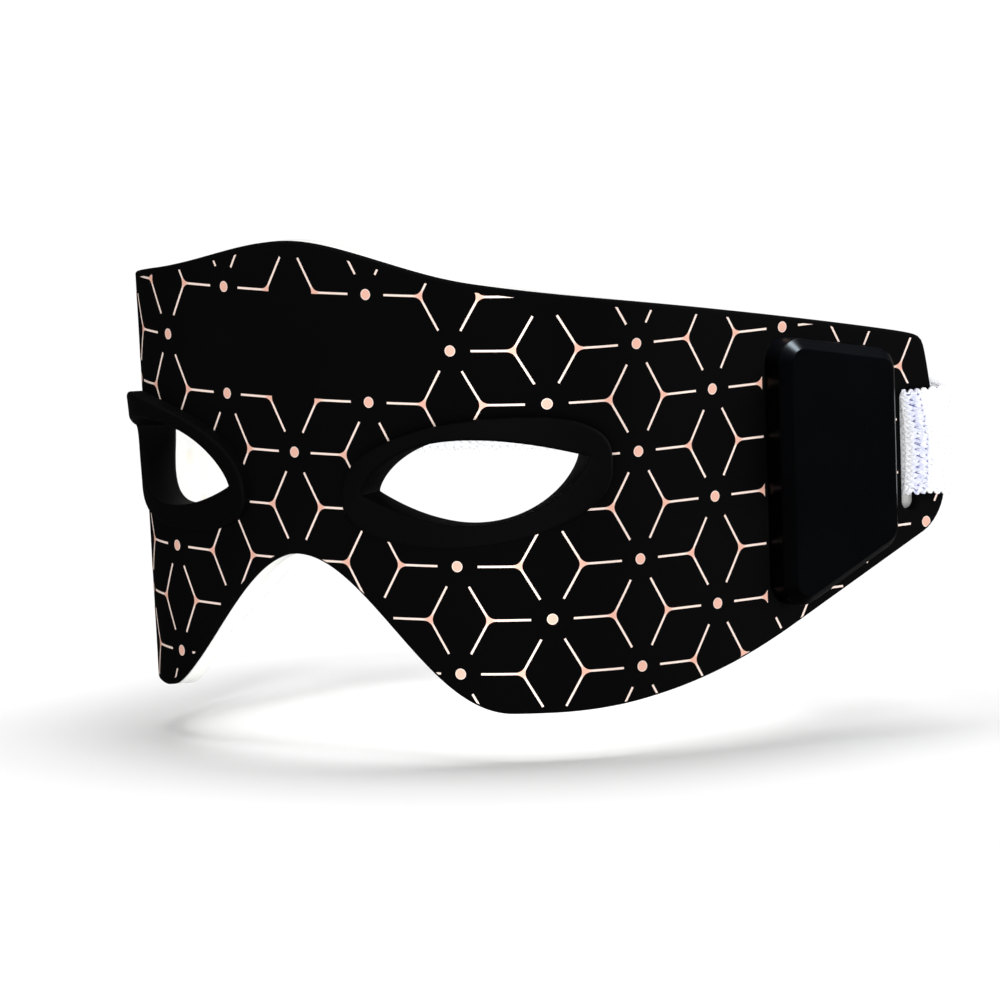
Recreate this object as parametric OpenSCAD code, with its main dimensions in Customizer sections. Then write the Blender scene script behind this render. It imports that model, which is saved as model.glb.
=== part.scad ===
// LED eye mask: a curved visor of two bonded silicone skins with a light circuit between them,
// a raised rim round each eye, a controller at the left temple and an elastic head strap.
// The sheet is laid out flat, as a distance s along its outer face and a height z,
// and is then bent back on tangent arcs. A depth d runs from the outer face towards the face.
// The front is -Y, the wearer's left is +X and up is +Z.
// The origin is on the face side of the sheet, in the middle of the top of the nose arch.

/* [Sheet] */
// Thickness of the whole sheet
sheet_t = 5; // [4.6:0.1:7]
// Thickness of the black outer skin
skin_t = 1.4; // [1:0.1:1.6]
// Thickness of the pale inner skin over the circuit
liner_t = 2; // [1.5:0.1:2.2]
// Thickness of the flexible circuit
flex_t = 0.3; // [0.2:0.05:0.4]
// Width of the thick edge of the inner skin, which meets the outer skin
edge_w = 2.6; // [1.6:0.1:2.8]
// Bare width between that edge and the flexible circuit
flex_margin = 3.2; // [2:0.1:6]

/* [Bend] */
// Length of the gently curved brow part, from the middle to each corner bend
brow_len = 28; // [24:0.5:34]
// Angle that the brow part turns back
brow_turn = 16; // [8:0.5:24]
// Length of each corner bend
bend_len = 34; // [28:0.5:42]
// Angle that each corner bend turns
bend_turn = 54; // [44:0.5:60]
// Angle of the slight curve between each corner bend and the straight temple
temple_turn = 9; // [4:0.5:14]
// Extra bulge of the corner bends
bulge = 1; // [0:0.1:1.4]
// Forward lean of that bulge, in mm for each 10 mm of height
brow_lean = 0.25; // [0:0.05:0.35]

/* [Outline] */
// Half the length of the sheet, measured over its outer face
half_len = 129.2; // [127:0.2:134]
// Height of the top edge over the middle, without its crest
brow_h = 49.9; // [46:0.1:56]
// Height of the crest over the brow
crest_h = 2.6; // [0:0.1:5]
// Distance from the middle at which the crest has died away
crest_len = 35; // [26:1:50]
// Roundness of the brow's peak in the middle
peak_soft = 8; // [2:0.5:16]
// Height of the top edge where the strap end begins
temple_h = 31.7; // [29:0.1:36]
// Upward bow of the top edge between the brow and the strap end
top_bow = 1; // [0:0.1:3]
// Depth of the cheeks below the nose arch
cheek_drop = 25.6; // [20:0.2:30]
// Distance from the middle to the lowest point of each cheek
cheek_s = 43; // [39:0.5:48]
// Distance from that point over which the lower edge curves up
rise_len = 49; // [40:1:60]
// Rise of the lower edge behind that curve, for each mm of length
rise_slope = 0.43; // [0.36:0.01:0.46]
// Radius of the lower corner at the strap end
end_r = 5; // [3:0.5:7]
// Lean of the strap end, in mm of length for each mm of height
end_lean = 0.16; // [0.08:0.01:0.24]
// Softness of the upper corner at the strap end
end_soft = 4; // [1:0.5:8]

/* [Eyes] */
// Distance from the middle to the inner corner of each eye opening
eye_in = 14.4; // [13.6:0.1:16]
// Distance from the middle to the outer corner
eye_out = 53; // [50:0.1:54]
// Height of the inner corner
eye_in_z = 10.8; // [9.6:0.1:12]
// Height of the outer corner
eye_out_z = 17.3; // [15:0.1:19]
// Rise of the upper lid line over the line between the corners
lid_up = 6.8; // [4:0.1:7.4]
// Drop of the lower lid line under that line
lid_down = 8.3; // [6:0.1:8.8]
// Distance from the middle to the inner end of the eye rim
rim_in = 10.5; // [9.5:0.5:12]
// Distance from the middle to the outer end of the eye rim
rim_out = 57; // [56:0.5:60]
// Height of the inner end of the eye rim
rim_in_z = 9.7; // [8:0.1:11]
// Height of the outer end of the eye rim
rim_out_z = 15.2; // [13:0.1:17]
// Rise of the rim's upper edge over the line between its ends
rim_up = 11.2; // [10:0.1:13]
// Drop of the rim's lower edge under that line
rim_down = 10; // [9:0.1:12]
// Height of the rim over the outer skin, above the eye
rim_h = 3; // [2.4:0.1:4]
// Part of that height that is left below the eye
rim_taper = 0.2; // [0.15:0.05:1]
// Thickness of the clip that holds the rim behind the skin
clip_t = 1; // [0.6:0.1:1.3]

/* [Strap] */
// Length of the bar between the slot and the strap end of the sheet
slot_bar = 6.4; // [5.4:0.1:7.4]
// Width of the slot
slot_w = 3.2; // [3:0.1:3.8]
// Length of the slot, upwards
slot_h = 20.4; // [20:0.2:23]
// Height of the slot's middle
slot_z = 11.9; // [11:0.1:13]
// Radius of the slot's corners
slot_r = 1.4; // [0.6:0.1:1.5]
// Width of the strap
strap_w = 18; // [14:0.5:18.5]
// Thickness of the strap
strap_t = 1.4; // [1:0.1:1.6]
// Angle to the left-right line at which the strap leaves each end
strap_turn = 40; // [32:1:46]
// Length of the strap that is folded back at each end
tail_len = 34; // [26:1:40]
// Thickness of the hook tape under the folded end
hook_t = 1; // [0.6:0.1:1.4]
// Length of the hook tape
hook_len = 24; // [16:1:25]

/* [Controller] */
// Length of sheet between the controller and the slot
case_gap = 4.4; // [3.6:0.1:5.4]
// Straight length of sheet in front of the controller
case_flat = 1.4; // [1:0.1:3]
// Length of the controller along the sheet
case_len = 25.8; // [25.4:0.1:26.4]
// Bare width between the controller and the sheet's edges
case_margin = 3.4; // [3:0.1:3.8]
// Height of the controller over the skin
case_h = 5.3; // [5.1:0.1:7]
// Width of the bevel round its outer face
case_bevel = 1.7; // [0.8:0.1:1.7]
// Radius of its corners, seen from outside
case_r = 4.2; // [3.8:0.1:5]
// Wall thickness of the cover
case_wall = 1.2; // [1:0.1:1.3]
// Wall thickness of the base
base_wall = 0.9; // [0.7:0.1:1]
// Room between the battery and the walls of the base
battery_gap = 0.7; // [0.4:0.1:2]
// Thickness of the battery
battery_t = 4.6; // [3:0.1:4.8]
// Length of the circuit board, upwards from the middle of the lower wall
board_len = 15.6; // [14:0.1:17]
// Thickness of the circuit board
board_t = 0.8; // [0.6:0.1:1]
// Height of the board's top over the skin
board_h = 0.4; // [0.3:0.1:0.5]
// Radius of the case screws
screw_r = 0.6; // [0.5:0.05:0.7]

/* [Button and socket] */
// Length of the power button along the lower wall
button_w = 6; // [4:0.2:6.4]
// Thickness of the power button
button_t = 2.4; // [1.8:0.1:2.5]
// Height of the button over the lower wall
button_out = 0.6; // [0.5:0.1:1]
// Travel of the button
button_travel = 0.5; // [0.3:0.05:0.5]
// Width of the charging socket
socket_w = 8.9; // [8.4:0.1:9.2]
// Thickness of the charging socket
socket_t = 3.2; // [3:0.1:3.2]
// Depth of the charging socket
socket_len = 7.3; // [6:0.1:7.6]
// Radius of the status light
light_r = 0.8; // [0.5:0.1:0.9]

/* [Lights] */
// Distance between neighbouring lights
led_pitch = 10.4; // [9:0.2:14]
// Width of each light
led_w = 2.8; // [2:0.1:3.5]
// Thickness of each light
led_t = 0.8; // [0.6:0.05:0.9]

/* [Hidden] */
$fn = 48;

// Clearance between pieces that seat on each other
seat = 0.05;
// Clearance round pieces that drop into an opening
fit = 0.2;
// Clearance round the soft strap and the pieces that slide
run = 0.3;
// Length by which a cut runs past the piece that it cuts
over = 1;
black = [0.06, 0.06, 0.07];
white = [0.93, 0.93, 0.92];
steel = [0.72, 0.73, 0.75];

// Places along the sheet, counted back from its strap end
end_s = half_len - slot_bar;
slot_s = end_s - slot_w;
case_end = slot_s - case_gap;
case_s = case_end - case_len;
temple_len = case_s - case_flat - brow_len - bend_len;

// Bend of the sheet, seen from above: three tangent arcs and a straight end
rad = 180 / PI;
arc_r = [brow_len / brow_turn * rad, bend_len / bend_turn * rad, temple_len / temple_turn * rad];
arc_s = [0, brow_len, brow_len + bend_len, brow_len + bend_len + temple_len];
arc_a = [0, brow_turn, brow_turn + bend_turn, brow_turn + bend_turn + temple_turn];

function mix(a, b, w) = a + (b - a) * w;
function clamp(x, a, b) = min(max(x, a), b);
function arc_to(k, a) = arc_r[k] * [sin(a) - sin(arc_a[k]), cos(arc_a[k]) - cos(a)];

arc_p1 = arc_to(0, arc_a[1]);
arc_p2 = arc_p1 + arc_to(1, arc_a[2]);
arc_p3 = arc_p2 + arc_to(2, arc_a[3]);

function heading(s) =
  s < arc_s[1] ? arc_a[0] + s / arc_r[0] * rad
  : s < arc_s[2] ? arc_a[1] + (s - arc_s[1]) / arc_r[1] * rad
  : s < arc_s[3] ? arc_a[2] + (s - arc_s[2]) / arc_r[2] * rad
  : arc_a[3];
function plan(s) = let (a = heading(s))
  s < arc_s[1] ? arc_to(0, a)
  : s < arc_s[2] ? arc_p1 + arc_to(1, a)
  : s < arc_s[3] ? arc_p2 + arc_to(2, a)
  : arc_p3 + (s - arc_s[3]) * [cos(a), sin(a)];

// Outward bulge of the corner bends. It dies away at both ends.
bulge_s = [brow_len / 2, mix(arc_s[2], arc_s[3], 0.885)];
function swell(s, z) =
  (bulge + brow_lean * (z - eye_in_z) / 10)
  * (1 - cos(360 * clamp((s - bulge_s[0]) / (bulge_s[1] - bulge_s[0]), 0, 1))) / 2;

// The point of the bent sheet at length s, height z and depth d
function at(s, z, d) =
  let (u = abs(s), a = heading(u), p = plan(u) + (d - swell(u, z)) * [-sin(a), cos(a)])
  [s < 0 ? -p[0] : p[0], p[1] - sheet_t, z];

// Outline of the flat sheet: the top and bottom heights at length s from the middle
function crest(s) = s < crest_len ? crest_h * (1 + cos(180 * s / crest_len)) / 2 : 0;
function peak(s) = sqrt(s * s + peak_soft * peak_soft) - peak_soft;
function top_line(s) =
  let (u = peak(s) / peak(end_s)) mix(brow_h, temple_h, u) + 4 * top_bow * u * (1 - u) + crest(s);
function soft_min(a, b) = (a + b - sqrt(pow(a - b, 2) + pow(end_soft, 2))) / 2;
arch_s = cheek_s - 3;
rise_s = cheek_s + 3;
function low_line(s) =
  s < arch_s ? -cheek_drop * (1 - cos(180 * s / arch_s)) / 2
  : s < rise_s ? -cheek_drop
  : s < rise_s + rise_len ? -cheek_drop + rise_slope * pow(s - rise_s, 2) / (2 * rise_len)
  : -cheek_drop + rise_slope * (s - rise_s - rise_len / 2);
tip_z = low_line(half_len) + end_r + 2;
function top_z(s) = soft_min(top_line(s), tip_z + (half_len - s) / end_lean);
function end_lift(s) =
  let (u = s - half_len + end_r) u > 0 ? end_r - sqrt(max(0, end_r * end_r - u * u)) : 0;
function low_z(s) = low_line(s) + end_lift(s);

// Heights of the top and bottom edges when they are moved inwards by w, square to the edge
step = 0.1;
function steep(z0, z1) = sqrt(1 + pow((z1 - z0) / (2 * step), 2));
function top_in(s, w) = top_z(s) - w * steep(top_z(max(s - step, 0)), top_z(max(s, step) + step));
function low_in(s, w) = low_z(s) + w * steep(low_z(max(s - step, 0)), low_z(max(s, step) + step));

// Eye opening and rim: w is 0 on the edge of the opening and 1 on the outer edge of the rim.
// The rim floats at the height lift over the skin, which its inner wall crosses up to neck_w.
lift = 2 * seat;
neck_w = 0.28;
open_w = 0.33;
clip_w = 0.76;
flex_w = 0.86;
// A hump over 0 to 1 with the height 1, whose ends are shaped by p and q
function hump(u, p, q) =
  let (m = p / (p + q)) pow(u, p) * pow(1 - u, q) / (pow(m, p) * pow(1 - m, q));
function ring_s(u, w) = mix(mix(eye_in, eye_out, u), mix(rim_in, rim_out, u), w);
function ring_top(u, w) = mix(
  mix(eye_in_z, eye_out_z, u) + lid_up * hump(u, 0.65, 1.05),
  mix(rim_in_z, rim_out_z, u) + rim_up * hump(u, 0.4, 0.35), w);
function ring_low(u, w) = mix(
  mix(eye_in_z, eye_out_z, u) - lid_down * hump(u, 1, 0.65),
  mix(rim_in_z, rim_out_z, u) - rim_down * hump(u, 0.45, 0.4), w);
function ring_u(s, w) = (s - ring_s(0, w)) / (ring_s(1, w) - ring_s(0, w));

// Corner c of a path, rounded to radius r, between the points p and q
function fillet(p, c, q, r, n = 6) =
  let (
    a = unit(p - c), b = unit(q - c), half = acos(a * b) / 2, mid = c + unit(a + b) * r / sin(half),
    from = c + a * r / tan(half) - mid, start = atan2(from[1], from[0]),
    sweep = (180 - 2 * half) * sign(cross(c - p, q - c))
  )
  [for (k = [0:n]) mid + r * [cos(start + sweep * k / n), sin(start + sweep * k / n)]];
function unit(v) = v / norm(v);
// A convex outline with rounded corners
function rounded(q, r) =
  let (n = len(q)) [for (i = [0:n - 1]) each fillet(q[(i + n - 1) % n], q[i], q[(i + 1) % n], r)];
function box_of(w, t) = [[-w / 2, -t / 2], [w / 2, -t / 2], [w / 2, t / 2], [-w / 2, t / 2]];

// Controller case, in the flat frame of the temple: its outline moved inwards by m
function case_quad(m) =
  let (a = case_s + m, b = case_end - m, w = case_margin + m)
  [[a, low_in(a, w)], [b, low_in(b, w)], [b, top_in(b, w)], [a, top_in(a, w)]];
function case_shape(m) = rounded(case_quad(m), case_r - m);
floor_t = 0.8;
base_in = case_wall + 0.8;
cavity_in = base_in + base_wall;
base_under = -(sheet_t - liner_t - seat);
floor_h = base_under + floor_t;
roof_h = case_h - case_wall;
board_under = board_h - board_t;

// Lower wall of the case, which carries the button, the light and the socket
wall_a = case_quad(0)[0];
wall_b = case_quad(0)[1];
wall_mid = (wall_a + wall_b) / 2;
wall_turn = atan2(wall_b[1] - wall_a[1], wall_b[0] - wall_a[0]);

// The board stands on the lower wall, and the battery fills the room above it
board_top_z = wall_mid[1] + board_len;
battery_z = board_top_z + 0.6;
battery_h = top_in(case_end, case_margin + cavity_in) - battery_gap - battery_z;
battery_w = case_len - 2 * (cavity_in + battery_gap);
battery_mid = case_s + case_len / 2;
pad_t = 0.5;
flange_h = -skin_t - seat;
flange_t = 0.8;

// The light is a little beside the middle of the lower wall, and its two neighbours keep the
// width wall_gap from it
light_x = 1;
light_end = case_wall + 2.5;
wall_gap = 0.4;
socket_x = light_x + light_r + wall_gap + (socket_w + fit) / 2;
socket_z = board_h + socket_t / 2;
shell_t = 0.35;

// Button, whose flange stays behind the wall, and the stem of the switch that it pushes
slack = 0.15;
flange_w = 0.6;
button_x = light_x - light_r - wall_gap - flange_w - button_w / 2;
button_z = board_h + button_t / 2;
plunger_end = case_wall + 1.4;
switch_y = plunger_end + button_travel + 0.1;
stem_w = 1.6;
stem_t = 0.8;
stem_h = 0.7;

// Screws: one over the battery and two at the corners of the board
boss_r = 1.5;
screw_head = 0.7;
screw_head_r = 2 * screw_r;
screw_len = roof_h - base_under - 1.6;
screw_front = case_s + cavity_in + 2.9;
screw_spots = [
  [screw_front, board_top_z - 2.4],
  [case_end - cavity_in - 1.8, board_top_z - 2.2],
  [screw_front, battery_z + battery_h + boss_r + 0.5]
];

// Tail of the flexible circuit, which runs into the case through its front wall
flex_d = skin_t + 0.1;
tail_z = mix(wall_a[1], board_top_z, 0.578);
tail_w = 6;
flex_end = case_s - 0.6;
flex_tip = case_s + cavity_in + 4;

// Room that the lights need, and the height that parts those of the brow from those of the cheeks
led_room = edge_w + flex_margin + led_w;
brow_z = mix(eye_out_z, brow_h, 0.15);

// Columns of the sheet: lengths at which it is cut into flat strips
function run_of(a, b, n) = [for (i = [0:n - 1]) mix(a, b, i / n)];
lens_n = 20;
function lens_of(w) = [for (i = [0:lens_n]) ring_s((1 - cos(180 * i / lens_n)) / 2, w)];
function after_lens(w, b, n) = [for (i = [1:n - 1]) mix(ring_s(1, w), b, i / n)];
function mirrored(c) = concat([for (i = [len(c) - 1:-1:1]) -c[i]], c);
// Places along an opening from a to b whose corners have the radius r
function corner_cols(a, b, r) = concat(
  [for (c = [0, 0.12, 0.5, 1]) a + c * r], [for (c = [1, 0.5, 0.12, 0]) b - c * r]);
// Drop of a corner of radius r at the distance u from the end of an opening
function corner(u, r) = u < r ? r - sqrt(r * r - pow(r - u, 2)) : 0;

win_a = case_s + base_in - fit;
win_b = case_end - base_in + fit;
win_r = (case_r - base_in) / 2;
pocket_end = mix(case_end, slot_s, 0.35);
slot_cols = concat(
  corner_cols(slot_s, end_s, slot_r),
  [for (u = [0.35, 0.6, 0.78, 0.88, 0.95, 1]) mix(end_s, half_len, u)]);
skin_cols = mirrored(concat(
  run_of(0, ring_s(0, open_w), 6), lens_of(open_w), after_lens(open_w, win_a, 14),
  corner_cols(win_a, win_b, win_r), slot_cols));
liner_cols = mirrored(concat(
  run_of(0, ring_s(0, open_w), 6), lens_of(open_w), after_lens(open_w, pocket_end, 18),
  [pocket_end], slot_cols));
flex_left = concat(
  run_of(0, ring_s(0, flex_w), 5), lens_of(flex_w), after_lens(flex_w, flex_end, 14), [flex_end]);
flex_cols = concat(mirrored(flex_left), [flex_tip]);

// Low and high side of the openings at length s. Between openings both lie at mid height.
function mid_z(s) = (low_z(s) + top_z(s)) / 2;
function eye_span(s, w) = let (u = min(max(ring_u(s, w), 0), 1)) [ring_low(u, w), ring_top(u, w)];
function win_span(s) =
  let (c = corner(min(s - win_a, win_b - s), win_r), m = case_margin + base_in - fit)
  [low_in(s, m) + c, top_in(s, m) - c];
function slot_span(s) =
  let (c = corner(min(s - slot_s, end_s - s), slot_r))
  [slot_z - slot_h / 2 + c, slot_z + slot_h / 2 - c];
function end_span(s) = s >= slot_s && s <= end_s ? slot_span(s) : [mid_z(s), mid_z(s)];
function skin_span(s) =
  s <= ring_s(1, open_w) ? eye_span(s, open_w)
  : s >= win_a && s <= win_b ? win_span(s)
  : end_span(s);
function liner_span(s) = s <= ring_s(1, open_w) ? eye_span(s, open_w) : end_span(s);
function flex_span(s) =
  s <= ring_s(1, flex_w) ? eye_span(s, flex_w)
  : s < flex_end ? [mid_z(s), mid_z(s)]
  : [tail_z - tail_w / 2, tail_z + tail_w / 2];
// Whether the strip between the lengths a and b lies inside an opening from low to high
function inside(a, b, low, high) = min(abs(a), abs(b)) >= low && max(abs(a), abs(b)) <= high;
function in_eye(a, b, w) = inside(a, b, ring_s(0, w), ring_s(1, w));

// A block of bent cells. Column i is at length cols[i], and rows[i] holds its heights. depths
// are its layers. filled(i, j, k) says whether the cell of column i, row j and layer k is solid.
module cells(cols, rows, depths, filled) {
  n = len(cols);
  m = len(rows[0]);
  q = len(depths);
  function row(i, j) = j > 0 && rows[i][j] == rows[i][j - 1] ? row(i, j - 1) : j;
  function id(i, j, k) = (i * m + row(i, j)) * q + k;
  function is_in(i, j, k) =
    i >= 0 && i < n - 1 && j >= 0 && j < m - 1 && k >= 0 && k < q - 1 && filled(i, j, k);
  function face(a, b, c, d) = concat(
    a != b && b != c && c != a ? [[a, b, c]] : [], a != c && c != d && d != a ? [[a, c, d]] : []);
  // The faces of cell i, j, k that look at an empty neighbour. Its corners are named after their
  // place: a to d go round the near layer, e to h lie behind them.
  function sides(i, j, k) =
    let (
      a = id(i, j, k), b = id(i, j + 1, k), c = id(i + 1, j + 1, k), d = id(i + 1, j, k),
      e = id(i, j, k + 1), f = id(i, j + 1, k + 1), g = id(i + 1, j + 1, k + 1), h = id(i + 1, j, k + 1)
    )
    concat(
      is_in(i, j, k - 1) ? [] : face(a, b, c, d),
      is_in(i, j, k + 1) ? [] : face(e, h, g, f),
      is_in(i, j - 1, k) ? [] : face(a, d, h, e),
      is_in(i, j + 1, k) ? [] : face(b, f, g, c),
      is_in(i - 1, j, k) ? [] : face(a, e, f, b),
      is_in(i + 1, j, k) ? [] : face(d, c, g, h));
  polyhedron(
    [for (i = [0:n - 1], j = [0:m - 1], k = [0:q - 1]) at(cols[i], rows[i][j], depths[k])],
    [for (i = [0:n - 2], j = [0:m - 2], k = [0:q - 2]) if (is_in(i, j, k)) each sides(i, j, k)],
    convexity = 10);
}

// A closed ring round the left eye, whose section is a list of [w, d]. It runs over the eye
// first and then back under it, where the part outside the skin gets lower.
module eye_ring(section, n = 26) {
  count = 2 * n;
  m = len(section);
  function lens(i) = (1 - cos(180 * i / n)) / 2;
  function share(i) = mix(rim_taper, 1, (1 + sin(180 * i / n)) / 2);
  function level(i, d) = d < 0 ? (d + lift) * share(i) - lift : d;
  function spot(i, w, d) = i <= n
    ? at(ring_s(lens(i), w), ring_top(lens(i), w), level(i, d))
    : at(ring_s(lens(count - i), w), ring_low(lens(count - i), w), level(i, d));
  polyhedron(
    [for (i = [0:count - 1], v = section) spot(i, v[0], v[1])],
    [for (i = [0:count - 1], j = [0:m - 1])
      let (a = i * m, b = ((i + 1) % count) * m, next = (j + 1) % m)
        each [[a + j, b + j, b + next], [a + j, b + next, a + next]]],
    convexity = 10);
}

// Frame on the bent sheet: x runs along it, y upwards, and z points away from the face
module on_sheet(s, z, d) {
  along = at(s + step, z, d) - at(s - step, z, d);
  upwards = at(s, z + step, d) - at(s, z - step, d);
  turn = atan2(along[1], along[0]);
  translate(at(s, z, d))
    rotate([90 + atan2(upwards * [sin(turn), -cos(turn), 0], upwards[2]), 0, turn]) children();
}

// Flat frame of the left temple: x is the length s, y the height and z the height over the skin
module on_temple() {
  foot = arc_p3 - arc_s[3] * [cos(arc_a[3]), sin(arc_a[3])] - [0, sheet_t];
  translate([foot[0], foot[1], 0]) rotate([90, 0, arc_a[3]]) children();
}

// Frame of the case's lower wall: x runs along the wall, y into the case, z over the skin
module in_wall(x, h) {
  translate([wall_mid[0], wall_mid[1], h]) rotate(wall_turn) translate([x, 0, 0]) children();
}
module on_wall(x, h) {
  on_temple() in_wall(x, h) children();
}

// The foot of screw i, lifted to the height z over the skin
module at_screw(i, z) {
  translate([screw_spots[i][0], screw_spots[i][1], z]) children();
}

// Bars that run into the case from depth y0 to depth y1: one with round sides, one square
module oval_bar(w, t, y0, y1) {
  block(w - t, t, y0, y1);
  for (x = [-1, 1])
    translate([x * (w - t) / 2, y0, 0]) rotate([-90, 0, 0]) cylinder(h = y1 - y0, d = t);
}
module block(w, t, y0, y1) {
  translate([-w / 2, y0, -t / 2]) cube([w, y1 - y0, t]);
}

// A plate of the given outline from height z0 to height z1
module plate(outline, z0, z1) {
  translate([0, 0, z0]) linear_extrude(z1 - z0) polygon(outline);
}

module outer_skin() {
  rows = [for (s = skin_cols) let (u = abs(s), h = skin_span(u)) [low_z(u), h[0], h[1], top_z(u)]];
  is_hole = function (a, b)
    in_eye(a, b, open_w) || inside(a, b, slot_s, end_s) || a > 0 && inside(a, b, win_a, win_b);
  filled = function (i, j, k) j != 1 || !is_hole(skin_cols[i], skin_cols[i + 1]);
  color(black) cells(skin_cols, rows, [0, skin_t], filled);
}

module light_liner() {
  rows = [for (s = liner_cols)
    let (u = abs(s), a = low_z(u), b = top_z(u), h = liner_span(u))
      [
        a, min(low_in(u, edge_w), mix(a, b, 0.2)), h[0],
        h[1], max(top_in(u, edge_w), mix(a, b, 0.8)), b
      ]];
  filled = function (i, j, k)
    let (a = liner_cols[i], b = liner_cols[i + 1])
    j == 2 && (in_eye(a, b, open_w) || inside(a, b, slot_s, end_s)) ? false
    : k == 1 || j == 0 || j == 4 || inside(a, b, pocket_end, half_len);
  color(white) cells(liner_cols, rows, [skin_t + seat, sheet_t - liner_t, sheet_t], filled);
}

module flex_circuit() {
  rows = [for (s = flex_cols) let (u = abs(s), h = flex_span(u))
    [low_in(u, edge_w + flex_margin), h[0], h[1], top_in(u, edge_w + flex_margin)]];
  filled = function (i, j, k)
    let (a = flex_cols[i], b = flex_cols[i + 1])
    j == 1 ? !in_eye(a, b, flex_w) : b <= flex_end;
  color([0.72, 0.42, 0.12]) cells(flex_cols, rows, [flex_d, flex_d + flex_t], filled);
}

// Lights stand on a triangular grid, where the circuit has room for them
function on_circuit(s, z) =
  let (u = ring_u(s, flex_w), v = min(max(u, 0), 1), gap = led_w * 0.8)
  s < flex_end - led_w && z > low_in(s, led_room) && z < top_in(s, led_room)
  && (u < -0.05 || u > 1.05 || z > ring_top(v, flex_w) + gap || z < ring_low(v, flex_w) - gap);
function led_spots(z0, z1, side) = [
  for (j = [-8:8], i = [0:24])
    let (s = (i + (j % 2 == 0 ? 0 : 0.5)) * led_pitch, z = eye_in_z + j * led_pitch * sin(60))
      if (z >= z0 && z < z1 && on_circuit(s, z) && (side > 0 || s > 0)) [side * s, z]
];
module lights(spots) {
  color([0.96, 0.9, 0.62]) for (p = spots)
    on_sheet(p[0], p[1], flex_d + flex_t + 2 * seat)
      translate([-led_w / 2, -led_w / 2, -led_t]) cube([led_w, led_w, led_t]);
}
module brow_lights() {
  lights(concat(led_spots(brow_z, brow_h + crest_h, 1), led_spots(brow_z, brow_h + crest_h, -1)));
}
module cheek_lights_left() {
  lights(led_spots(-cheek_drop, brow_z, 1));
}
module cheek_lights_right() {
  lights(led_spots(-cheek_drop, brow_z, -1));
}

module eye_rim_left() {
  color(black) eye_ring([
    [1, -lift], [0.99, -0.7 * rim_h], [0.95, -0.92 * rim_h], [0.86, -rim_h], [0.14, -rim_h],
    [0, -0.9 * rim_h], [0, sheet_t], [neck_w, sheet_t], [neck_w, -lift]]);
}
module eye_rim_right() {
  mirror([1, 0, 0]) eye_rim_left();
}
module rim_clip_left() {
  near = skin_t + seat;
  color("dimgray") eye_ring([
    [open_w, near], [open_w, near + clip_t], [clip_w, near + clip_t], [clip_w, near]]);
}
module rim_clip_right() {
  mirror([1, 0, 0]) rim_clip_left();
}

module controller_cover() {
  slope = case_wall * tan(22.5);
  color(black) on_temple() difference() {
    union() {
      difference() {
        hull() {
          plate(case_shape(0), seat, case_h - case_bevel);
          plate(case_shape(case_bevel), seat, case_h);
        }
        hull() {
          plate(case_shape(case_wall), -over, roof_h - case_bevel + slope);
          plate(case_shape(case_bevel + slope), -over, roof_h);
        }
      }
      for (i = [0:2]) let (foot = i < 2 ? board_h + seat : seat)
        at_screw(i, foot) cylinder(h = roof_h + 0.3 - foot, r = boss_r);
    }
    for (i = [0:2]) at_screw(i, -over) cylinder(h = roof_h - 0.4 + over, r = screw_r + seat);
    in_wall(button_x, button_z)
      oval_bar(button_w + 2 * slack, button_t + 2 * slack, -over, case_wall + over);
    in_wall(socket_x, socket_z) oval_bar(socket_w + fit, socket_t + fit, -over, case_wall + over);
    in_wall(light_x, button_z)
      rotate([90, 0, 0]) cylinder(h = 2 * (case_wall + over), r = light_r + seat, center = true);
  }
}

module controller_base() {
  color("dimgray") on_temple() difference() {
    union() {
      plate(case_shape(base_in), base_under, -seat);
      plate(case_shape(0.3), flange_h - flange_t, flange_h);
    }
    difference() {
      plate(case_shape(cavity_in), floor_h, over);
      for (i = [0:2]) let (tip = i < 2 ? board_under - seat : 0)
        at_screw(i, floor_h - over) cylinder(h = tip - floor_h + over, r = boss_r + fit);
    }
    for (i = [0:2]) at_screw(i, base_under - over) {
      cylinder(h = over + screw_head + seat, r = screw_head_r);
      cylinder(h = over + screw_len, r = screw_r + fit);
    }
    translate([case_s, tail_z - tail_w / 2 - fit, flange_h - flange_t - fit])
      cube([cavity_in + over, tail_w + 2 * fit, flange_t + 3 * fit]);
  }
}
module case_screws() {
  color(steel) on_temple() for (i = [0:2]) at_screw(i, base_under) {
    cylinder(h = screw_head, r = screw_head_r - lift);
    cylinder(h = screw_len, r = screw_r);
  }
}

module control_board() {
  room = cavity_in + run;
  color([0.05, 0.32, 0.18]) on_temple() difference() {
    intersection() {
      plate(case_shape(room), board_under, board_h);
      translate([case_s, -cheek_drop, board_under - over])
        cube([case_len, cheek_drop + board_top_z, board_t + 2 * over]);
    }
    for (i = [0:1]) at_screw(i, board_under - over) cylinder(h = board_t + 2 * over, r = screw_r + fit);
  }
}
module board_chips() {
  // Corner of each chip along and behind the switch and the socket, and its size
  chips = [
    [-4.6, 0.8, 2, 1.2, 0.6], [-2, 1.4, 4, 4, 0.8], [3.2, 1.2, 3, 3, 1.4], [7.4, 0.8, 1.6, 0.8, 0.6],
    [-5, 3.6, 2, 1.2, 0.9]
  ];
  on_wall(0, board_h) {
    color([0.1, 0.1, 0.11])
      for (c = chips) translate([c[0], socket_len + c[1], 0]) cube([c[2], c[3], c[4]]);
    color(white)
      translate([light_x - light_r, light_end + seat, 0]) cube([2 * light_r, 0.9, 1.4]);
  }
}
module flex_connector() {
  color(white) on_temple() translate([flex_tip - 3.4, tail_z - tail_w / 2 - 0.6, -flex_d + seat])
    cube([3.2, tail_w + 1.2, board_under + flex_d - 2 * seat]);
}
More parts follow.
